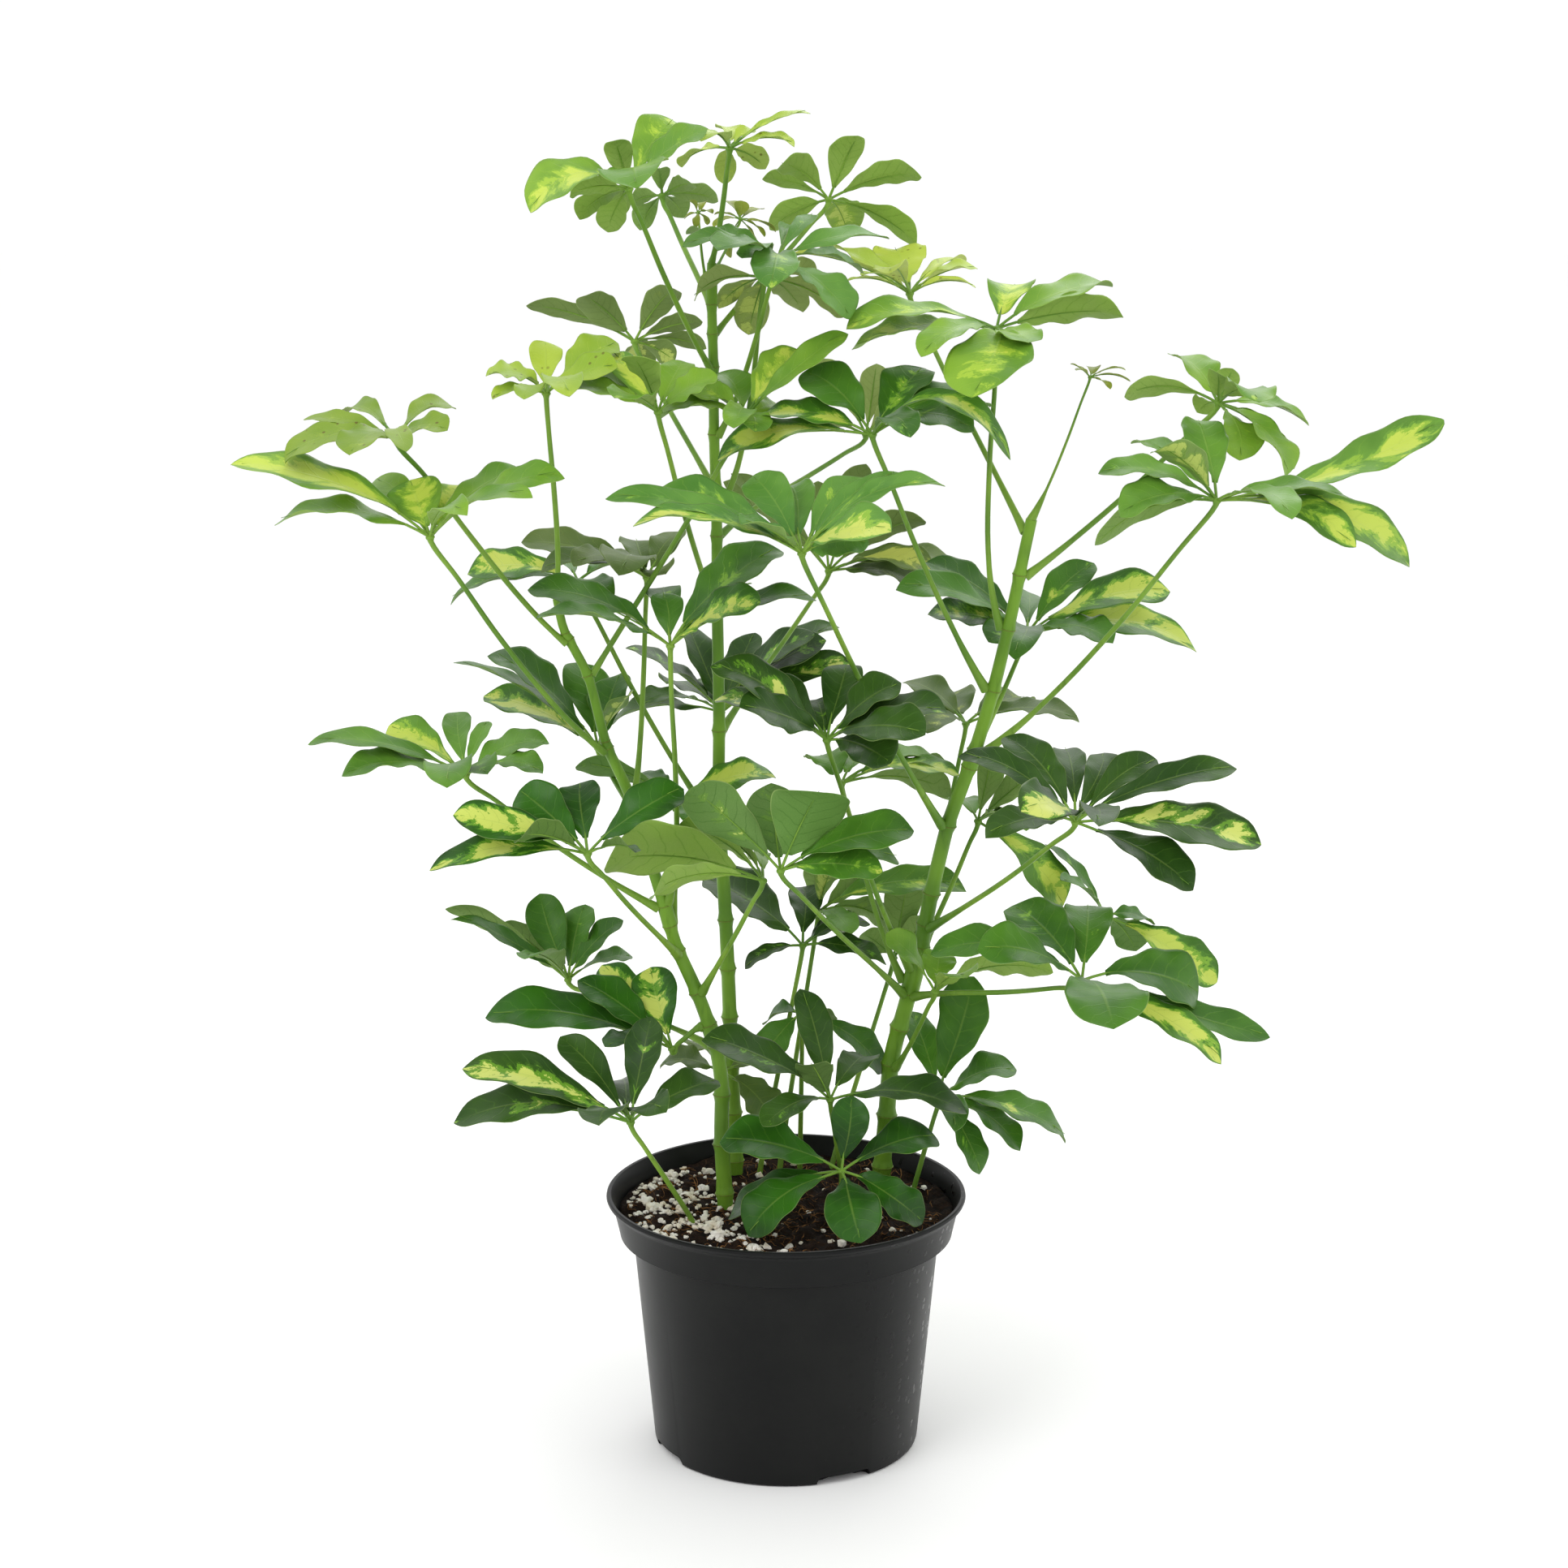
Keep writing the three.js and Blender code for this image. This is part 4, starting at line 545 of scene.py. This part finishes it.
def readBlade(tip, rings, stalkRing):  # the curve and the sections that the solid's rings show
    places = leaf["ringPlaces"][len(rings)]
    steps = [leaf["stalkShare"] + (1 - leaf["stalkShare"]) * u for u in places]
    sections = []
    for ring in rings:
        corners = [corner.co.copy() for corner in ring]
        mids = min(combinations(corners, 2), key=lambda pair: (pair[0] - pair[1]).length)
        edges = [corner for corner in corners if corner not in mids]
        centre = (mids[0] + mids[1]) / 2
        up = (mids[0] - mids[1]).normalized()
        if up.dot(edges[0] + edges[1] - 2 * centre) < 0:
            up.negate()
        sections.append((centre, up, edges))
    first, last = leaf["stalkShare"], steps[-1]
    near = middle(stalkRing) - tip * first ** 2
    far = sections[-1][0] - tip * last ** 2
    a, b, c, d = (1 - first) ** 2, 2 * first * (1 - first), (1 - last) ** 2, 2 * last * (1 - last)
    foot = (near * d - far * b) / (a * d - b * c)
    control = (far * a - near * c) / (a * d - b * c)
    across = (tip - foot).cross(sections[len(sections) // 2][1]).normalized()
    breadths = []
    lifts = {-1: [0], 1: [0]}
    for (centre, up, edges), u in zip(sections, places):
        for edge in edges:
            reach = (edge - centre).dot(across)
            breadths.append(2 * abs(reach) / float(outline(np.array(u))))
            lifts[1 if reach > 0 else -1].append((edge - centre).dot(up))
    u = [0, *places, 1]
    return {
        "foot": foot, "control": control, "tip": tip, "across": across,
        "breadth": sum(breadths) / len(breadths),
        "lifts": {side: np.polyfit(u, row + [0], len(row)) for side, row in lifts.items()},
    }


def readLeaf(node):
    mesh = mergedSolid(node)
    blades = []
    used = set()
    rim = set()
    for tip in mesh.verts:
        ring = around({tip})
        if sorted(len(corner.link_edges) for corner in ring) != [4, 4, 6, 6]:
            continue
        seen = {tip}
        rings = []
        while max((corner.co - middle(ring)).length for corner in ring) > leaf["thinRing"] * mm:
            rings.insert(0, ring)
            seen |= ring
            ring = around(ring) - seen
        used |= seen | ring
        rim |= around(ring) - seen - ring
        blades.append(readBlade(tip.co.copy(), rings, ring))
    hub = sum((blade["foot"] for blade in blades), Vector()) / len(blades)
    apex = next(corner for corner in around(rim) - used - rim if around({corner}) <= rim)
    axis = (apex.co - hub).normalized()
    size = (apex.co - hub).length / (leaf["hubLift"] * mm)
    under = around(rim) - used - rim - {apex}
    stalk = [(hub, 0)]
    for ring in ringsOf(under, used | rim | {apex}):
        centre = middle(ring)
        stalk.append((centre, max((corner.co - centre).length for corner in ring)))
    mesh.free()
    return {"hub": hub, "axis": axis, "size": size, "blades": blades, "stalk": stalk}


def nearestShare(node, tip):
    marked = yellowTips.get(node, {})
    x, y = photoPixel(tip)
    for (px, py), share in marked.items():
        if math.hypot(px - x, py - y) < leaf["tipPixels"]:
            return share
    return None


def bendBlade(blade, size, unit, name, seed, share):  # a copy of the unit blade, bent to its place
    piece = unit.copy()
    piece.data = unit.data.copy()
    piece.name = name
    bpy.context.collection.objects.link(piece)
    count = len(piece.data.vertices)
    flat = np.empty(count * 3)
    piece.data.vertices.foreach_get("co", flat)
    x, y, side = flat.reshape(-1, 3).T
    draw = random.Random(seed)
    u = 1 - (1 - x) ** 1.3
    v = y * (1.3 - 0.3 * y ** 2)
    t = (leaf["stalkShare"] + (1 - leaf["stalkShare"]) * u)[:, None]
    foot, control, tip, across = (np.array(blade[key]) for key in ("foot", "control", "tip", "across"))
    place = curvePoint(foot, control, tip, t)
    along = 2 * (1 - t) * (control - foot) + 2 * t * (tip - control)
    length = np.linalg.norm(tip - foot)
    along /= np.linalg.norm(along, axis=1)[:, None]
    up = np.cross(across, along)
    turn = draw.uniform(-1, 1) * leaf["twist"] * u[:, None] ** 2
    level = across * np.cos(turn) + up * np.sin(turn)
    up = up * np.cos(turn) - across * np.sin(turn)
    half = outline(u, leaf["fullness"]) * blade["breadth"] / 2
    reach = np.abs(v)
    lift = np.where(v > 0, np.polyval(blade["lifts"][1], u), np.polyval(blade["lifts"][-1], u))
    waves = draw.uniform(2.2, 3.6), draw.uniform(0, 6.3), draw.uniform(0, 6.3)
    ripple = np.sin(waves[0] * 2 * math.pi * u + np.where(v > 0, waves[1], waves[2]))
    swell = np.sin(math.pi * u) ** 0.5
    wave = leaf["ripple"] * size * mm * min(1, blade["breadth"] / (leaf["rippleBreadth"] * mm)) ** 1.5
    height = lift * reach ** 1.35 + wave * ripple * swell * reach ** 3
    height -= leaf["curl"] * length * np.clip((u - 0.72) / 0.28, 0, 1) ** 2 * draw.uniform(0, 1)
    drift = leaf["sickle"] * length * draw.uniform(-1, 1) * np.sin(math.pi * u)
    thick = leaf["thickness"] * mm * max(size, 0.6) * (1 - 0.45 * reach)
    place = place + level * (half * v + drift)[:, None] + up * (height + side * thick)[:, None]
    place = np.clip(place, cadBox[0], cadBox[1])
    piece.data.vertices.foreach_set("co", place.ravel())
    for key, value in (("leafletSeed", draw.random()), ("yellowShare", share)):
        layer = piece.data.attributes.new(key, "FLOAT", "POINT")
        layer.data.foreach_set("value", np.full(count, value, np.float32))
    piece.data.update()
    return piece


def ribLine(blade, size):  # a leaflet's stalk, which runs on under its blade as the rib
    line = []
    across = blade["across"]
    for step in range(leaf["ribSteps"] + 1):
        t = leaf["ribEndPlace"] * step / leaf["ribSteps"]
        place = curvePoint(blade["foot"], blade["control"], blade["tip"], t)
        along = (blade["control"] - blade["foot"]) * (1 - t) + (blade["tip"] - blade["control"]) * t
        u = max(0, (t - leaf["stalkShare"]) / (1 - leaf["stalkShare"]))
        radius = leaf["stalkRadius"] * (1 - 0.15 * t)
        if u:
            radius = leaf["ribRadius"] * (1 - u) + leaf["ribEnd"] * u
        drop = across.cross(along).normalized() * radius * mm * size * min(1, u * 6) * 0.75
        line.append((place - drop, radius * mm * size))
    return line


def makeLeaf(name, tone, unit, materials, stalkMaterial, seed):
    node = "leaf_" + name
    read = readLeaf(node)
    size = read["size"]
    pieces = []
    for number, blade in enumerate(read["blades"]):
        draw = random.Random(seed * 31 + number)
        share = nearestShare(name, blade["tip"])
        if share is None:
            share = 0 if tone == "plain" else draw.choice(leaf["plainShares"])
        pieces.append(bendBlade(blade, size, unit, f"{node}_{number}", seed * 31 + number, share))
        for material in materials[tone]:
            pieces[-1].data.materials.append(material)
    stalk = [(place, radius * leaf["plump"]) for place, radius in read["stalk"]]
    stalk[0] = (read["hub"], leaf["hubRadius"] * size * mm)
    (before, _), (end, radius) = stalk[-2:]
    stalk.append((end + (end - before).normalized() * leaf["footReach"] * mm, radius))
    petiole = tubes(node + "_stalk", [stalk], 3, 6)
    ribs = tubes(node + "_ribs", [ribLine(blade, size) for blade in read["blades"]], 1, 1)
    bpy.ops.mesh.primitive_uv_sphere_add(
        segments=14, ring_count=8, radius=leaf["hubRadius"] * size * mm, location=read["hub"])
    hub = bpy.context.object
    hub.scale = (1.15, 1.15, 0.8)
    hub.rotation_euler = read["axis"].to_track_quat("Z", "Y").to_euler()
    bpy.ops.object.shade_smooth()
    for piece in (petiole, ribs, hub):
        piece.data.materials.append(stalkMaterial)
    only(petiole, ribs, hub, *pieces)
    bpy.context.view_layer.objects.active = pieces[0]
    bpy.ops.object.join()
    whole = bpy.context.object
    bpy.ops.object.transform_apply(location=True, rotation=True, scale=True)
    whole.name = node + "_fine"
    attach(whole, "root")
    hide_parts(node)


# The pot: a turned shell with a rolled lip, a band, a foot ring and drain notches
pot = {
    "height": 170, "rimRadius": 117.5, "bandTopRadius": 113, "bandFootRadius": 109, "bandHeight": 27,
    "bodyTopRadius": 100, "bodyFootRadius": 87, "wall": 2, "lip": 3, "floor": 9, "padRadius": 52,
    "footRing": 9, "turns": 128, "notches": 4, "notchWidth": 38, "notchHeight": 5.5, "notchTurn": -64,
}


def turned(name, profile, steps):  # a solid of revolution from (radius, height) points in millimetres
    bpy.ops.mesh.primitive_plane_add(size=1)
    piece = bpy.context.object
    piece.name = name
    bpy.ops.object.mode_set(mode="EDIT")
    mesh = bmesh.from_edit_mesh(piece.data)
    bmesh.ops.delete(mesh, geom=mesh.verts[:], context="VERTS")
    corners = [mesh.verts.new((radius * mm, 0, height * mm)) for radius, height in profile]
    for low, high in zip(corners, corners[1:]):
        mesh.edges.new((low, high))
    bmesh.update_edit_mesh(piece.data)
    bpy.ops.mesh.select_all(action="SELECT")
    bpy.ops.mesh.spin(steps=steps, angle=2 * math.pi, center=(0, 0, 0), axis=(0, 0, 1))
    bpy.ops.mesh.select_all(action="SELECT")
    bpy.ops.mesh.remove_doubles(threshold=1e-6)
    bpy.ops.mesh.normals_make_consistent(inside=False)
    bpy.ops.object.mode_set(mode="OBJECT")
    return piece


def makePot():
    bandFoot = pot["height"] - pot["bandHeight"]
    foot, top, wall = pot["bodyFootRadius"], pot["height"], pot["wall"]
    profile = [
        (0, 0), (pot["padRadius"], 0), (pot["padRadius"] + 4, pot["floor"] - 3),
        (foot - pot["footRing"] - 4, pot["floor"] - 3), (foot - pot["footRing"], 0), (foot - 3, 0),
        (foot - 0.8, 1), (foot, 3.5), (pot["bodyTopRadius"], bandFoot - 2.4),
        (pot["bodyTopRadius"] + 0.5, bandFoot - 1), (pot["bandFootRadius"] - 1, bandFoot),
        (pot["bandFootRadius"] - 0.2, bandFoot + 0.6), (pot["bandFootRadius"], bandFoot + 2),
        (pot["bandTopRadius"], top - 7.5), (pot["bandTopRadius"] + 0.8, top - 5.6),
        (pot["rimRadius"] - 1.6, top - 4.1), (pot["rimRadius"] - 0.5, top - 3.2),
        (pot["rimRadius"], top - 2), (pot["rimRadius"] - 0.3, top - 0.7), (pot["rimRadius"] - 1.2, top),
        (pot["rimRadius"] - pot["lip"], top - 0.2), (pot["rimRadius"] - pot["lip"] - 1, top - 1.6),
        (pot["bandTopRadius"] - wall, top - 8), (pot["bandFootRadius"] - wall, bandFoot + 3.5),
        (pot["bodyTopRadius"] - wall, bandFoot + 0.5), (foot - wall, pot["floor"]), (0, pot["floor"]),
    ]
    shell = turned("potShell", profile, pot["turns"])
    for number in range(pot["notches"]):
        angle = 2 * math.pi * number / pot["notches"] + math.radians(pot["notchTurn"])
        place = (foot * mm * math.cos(angle), foot * mm * math.sin(angle), 0)
        size = (pot["footRing"] * 2.2 * mm, pot["notchWidth"] * mm, 2 * pot["notchHeight"] * mm)
        bpy.ops.mesh.primitive_cube_add(size=1, location=place, rotation=(0, 0, angle), scale=size)
        cutter = bpy.context.object
        bpy.ops.object.transform_apply(location=False, rotation=False, scale=True)
        bevel = cutter.modifiers.new("roundEnds", "BEVEL")
        bevel.width = pot["notchHeight"] * 0.7 * mm
        bevel.segments = 5
        only(cutter)
        bpy.ops.object.modifier_apply(modifier=bevel.name)
        only(shell)
        cut = shell.modifiers.new("drainNotch", "BOOLEAN")
        cut.object = cutter
        cut.operation = "DIFFERENCE"
        bpy.ops.object.modifier_apply(modifier=cut.name)
        bpy.data.objects.remove(cutter)
    only(shell)
    bpy.ops.object.shade_smooth_by_angle(angle=math.radians(35))
    shell.data.materials.append(makePotPlastic())
    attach(shell, "root")
    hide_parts("pot")


def makePotPlastic():
    material, tree, shader = newMaterial("blackPotPlastic", Specular_IOR_Level=0.16)
    solid = addNode(tree, "TexCoord").outputs["Object"]
    rings = addNode(tree, "Mapping", {"Vector": solid, "Scale": (2, 2, 260)}).outputs[0]
    lines = noiseAt(tree, rings, 3.0, 3.0)
    clouds = noiseAt(tree, solid, 14.0, 5.0, 0.6)
    colour = blendColour(tree, fade(tree, clouds, 0.35, 0.75), paint("0d0e0e"), paint("141514"))
    places = addNode(tree, "SeparateXYZ", {0: solid}).outputs
    wet = fade(tree, places[0], 0.02, 0.075)
    drops = calc(tree, "MULTIPLY", softDots(tree, solid, 190.0, (0.72, 0.76), (0.42, 0.25)), wet)
    colour = blendColour(tree, calc(tree, "MULTIPLY", drops, 0.75), colour, paint("050505"))
    dust = fade(tree, noiseAt(tree, solid, 420.0, 2.0), 0.7, 0.8, 0, 0.35)
    colour = blendColour(tree, dust, colour, paint("2b2b2a"))
    tree.links.new(colour, shader.inputs["Base Color"])
    rough = calc(tree, "MULTIPLY_ADD", clouds, 0.18, 0.3)
    tree.links.new(calc(tree, "MULTIPLY_ADD", drops, -0.2, rough), shader.inputs["Roughness"])
    relief = calc(tree, "MULTIPLY_ADD", drops, 0.5, calc(tree, "MULTIPLY", lines, 0.25))
    bumpFrom(tree, shader, relief, 0.3, 0.0004)
    return material


# Potting mix: dark fibrous peat with white perlite, most of it front left
soil = {
    "top": 158, "gap": 0.4, "turns": 160, "rings": 56, "fibres": 700, "chips": 440,
    "chipSizes": (1.6, 4.2), "bigChips": 56, "bigSizes": (4.0, 7.0), "reach": 104,
    "chipSide": (-1.1, -0.42), "chipStart": 24, "chipFade": 40, "strayChips": 0.035,
}


def soilLumps(x, y):  # height of the mix, in millimetres
    lumps = 1.6 * math.sin(x * 0.11 + 1.3) * math.cos(y * 0.13 - 0.4)
    lumps += 1.1 * math.sin(x * 0.29 - y * 0.23)
    fine = noise.fractal(Vector((x * 0.09, y * 0.09, 3.1)), 0.8, 2.1, 5)
    return soil["top"] + lumps + 2.2 * fine


def makeSoil():
    bandFoot = pot["height"] - pot["bandHeight"]
    wall, gap, top = pot["wall"], soil["gap"], soil["top"]
    share = (top - bandFoot - 3.5) / (pot["height"] - 8 - bandFoot - 3.5)
    edge = pot["bandFootRadius"] - wall + share * (pot["bandTopRadius"] - pot["bandFootRadius"]) - gap
    profile = [(edge * k / soil["rings"], top) for k in range(soil["rings"] + 1)]
    profile += [
        (pot["bandFootRadius"] - wall - gap, bandFoot + 3.5),
        (pot["bodyTopRadius"] - wall - gap, bandFoot + 0.5),
        (pot["bodyFootRadius"] - wall - gap, pot["floor"] + gap), (0, pot["floor"] + gap)]
    mix = turned("pottingMix", profile, soil["turns"])
    for corner in mix.data.vertices:
        x, y, z = (value / mm for value in corner.co)
        if z > top - 0.5:
            corner.co.z = (soilLumps(x, y) if math.hypot(x, y) < edge - 1 else top - 1) * mm
    only(mix)
    bpy.ops.object.shade_smooth()
    mix.data.materials.append(makePeat())
    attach(mix, "root")
    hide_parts("soil")


def makePeat():
    material, tree, shader = newMaterial("darkPeat", Roughness=0.92, Specular_IOR_Level=0.15)
    solid = addNode(tree, "TexCoord").outputs["Object"]
    coarse = noiseAt(tree, solid, 120.0, 6.0, 0.7)
    fine = noiseAt(tree, solid, 700.0, 4.0, 0.7)
    colour = blendColour(tree, fade(tree, coarse, 0.35, 0.7), paint("100a07"), paint("38261a"))
    colour = blendColour(tree, fade(tree, fine, 0.6, 0.75, 0, 0.7), colour, paint("6d4d33"))
    tree.links.new(colour, shader.inputs["Base Color"])
    bumpFrom(tree, shader, calc(tree, "ADD", coarse, fine), 1.0, 0.003)
    return material


def placeOnMix(draw):
    radius = soil["reach"] * math.sqrt(draw.random())
    angle = draw.uniform(0, 2 * math.pi)
    return radius * math.cos(angle), radius * math.sin(angle)


def chipPlaces(draw, count, sizes):
    places = []
    while len(places) < count:
        x, y = placeOnMix(draw)
        lean = x * soil["chipSide"][0] + y * soil["chipSide"][1]
        frontLeft = min(1, max(0, (lean - soil["chipStart"]) / soil["chipFade"]))
        heaps = 0.55 + 0.45 * math.sin(x * 0.13) * math.cos(y * 0.11)
        if draw.random() < soil["strayChips"] + (1 - soil["strayChips"]) * frontLeft * heaps:
            places.append((x, y, draw.uniform(*sizes)))
    return places


def makePerlite():
    draw = random.Random(11)
    material, tree, shader = newMaterial("whitePerlite", Roughness=0.85)
    solid = addNode(tree, "TexCoord").outputs["Object"]
    grain = noiseAt(tree, solid, 420.0, 5.0, 0.7)
    clouds = noiseAt(tree, solid, 90.0, 2.0)
    colour = blendColour(tree, fade(tree, clouds, 0.35, 0.7), paint("fffbf2"), paint("eee2ca"))
    colour = blendColour(tree, fade(tree, grain, 0.58, 0.78, 0, 0.5), colour, paint("94826c"))
    tree.links.new(colour, shader.inputs["Base Color"])
    bumpFrom(tree, shader, grain, 0.9, 0.0015)
    models = []
    for number in range(6):
        bpy.ops.mesh.primitive_ico_sphere_add(subdivisions=2, radius=1)
        model = bpy.context.object
        for corner in model.data.vertices:
            lump = noise.noise(corner.co * 1.6 + Vector((number * 7.3, 0, 0)))
            corner.co *= 1 + 0.55 * lump
        bpy.ops.object.shade_smooth_by_angle(angle=math.radians(40))
        models.append(model)
    places = chipPlaces(draw, soil["chips"], soil["chipSizes"])
    places += chipPlaces(draw, soil["bigChips"], soil["bigSizes"])
    chips = []
    for x, y, size in places:
        chip = draw.choice(models).copy()
        chip.data = chip.data.copy()
        bpy.context.collection.objects.link(chip)
        width = size / 2 * mm
        chip.scale = [width * draw.uniform(*span) for span in ((0.9, 1.4), (0.75, 1.1), (0.6, 0.9))]
        chip.rotation_euler = (draw.uniform(-0.5, 0.5), draw.uniform(-0.5, 0.5), draw.uniform(0, 6.3))
        chip.location = (x * mm, y * mm, (soilLumps(x, y) + size * draw.uniform(0.05, 0.25)) * mm)
        chips.append(chip)
    for model in models:
        bpy.data.objects.remove(model)
    only(*chips)
    bpy.ops.object.join()
    perlite = bpy.context.object
    bpy.ops.object.transform_apply(location=True, rotation=True, scale=True)
    perlite.name = "perlite"
    perlite.data.materials.append(material)
    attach(perlite, "root")


def makeFibres():
    draw = random.Random(5)
    lines = []
    for _ in range(soil["fibres"]):
        x, y = placeOnMix(draw)
        turn = draw.uniform(0, 2 * math.pi)
        step, thick = draw.uniform(1.2, 4.2), draw.uniform(0.14, 0.42)
        line = []
        for k in range(5):
            if math.hypot(x, y) > soil["reach"]:
                break
            height = soilLumps(x, y) + draw.uniform(-0.6, 1.6)
            line.append((Vector((x, y, height)) * mm, thick * (0.5 if k in (0, 4) else 1) * mm))
            turn += draw.uniform(-0.7, 0.7)
            x, y = x + step * math.cos(turn), y + step * math.sin(turn)
        if len(line) > 2:
            lines.append(line)
    fibres = tubes("peatFibres", lines, 0, 2)
    material, tree, shader = newMaterial("brownFibre", Roughness=0.85, Specular_IOR_Level=0.2)
    solid = addNode(tree, "TexCoord").outputs["Object"]
    tone = noiseAt(tree, solid, 150.0, 3.0)
    colour = blendColour(tree, fade(tree, tone, 0.35, 0.68), paint("342012"), paint("9a6e40"))
    tree.links.new(colour, shader.inputs["Base Color"])
    fibres.data.materials.append(material)
    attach(fibres, "root")


def makeFloorPaint(floor):
    material, tree, shader = newMaterial("paleFloor", Roughness=0.75)
    solid = addNode(tree, "TexCoord").outputs["Object"]
    grain = noiseAt(tree, solid, 900.0, 2.0)
    colour = blendColour(tree, grain, paint("fbfbfa"), paint("fcfcfc"))
    tree.links.new(colour, shader.inputs["Base Color"])
    floor.data.materials.append(material)


# Everything in order
makeFloorPaint(makeStudio())
print("studio ready")
makePot()
print("pot turned")
makeSoil()
makePerlite()
makeFibres()
print("potting mix laid")
stemMaterial = makeStalkMaterial("stemGreen", "567f24", "76a030", "3d5f1d")
scarMaterial = makeStalkMaterial("ringScar", "62762a", "788d34", "52521e")
for node in ("stem_left", "stem_middle", "stem_right"):
    makeStem(node, stemMaterial, scarMaterial)
print("stems grown")
veins, patches = makeVeinGroup(), makePatchGroup()
toneOf = {name: tone for tone, names in leafTones.items() for name in names.split()}
leafMaterials = {tone: makeLeafMaterials(tone, veins, patches) for tone in leafLooks}
stalkMaterial = makeStalkMaterial("leafStalkGreen", "59822a", "7ca03a", "426321")
unitBlade = makeUnitBlade()
leafNames = sorted(node[5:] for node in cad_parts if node.startswith("leaf_"))
for seed, name in enumerate(leafNames):
    makeLeaf(name, toneOf.get(name, "mid"), unitBlade, leafMaterials, stalkMaterial, seed + 1)
bpy.data.objects.remove(unitBlade)
print("leaves grown:", len(leafNames))
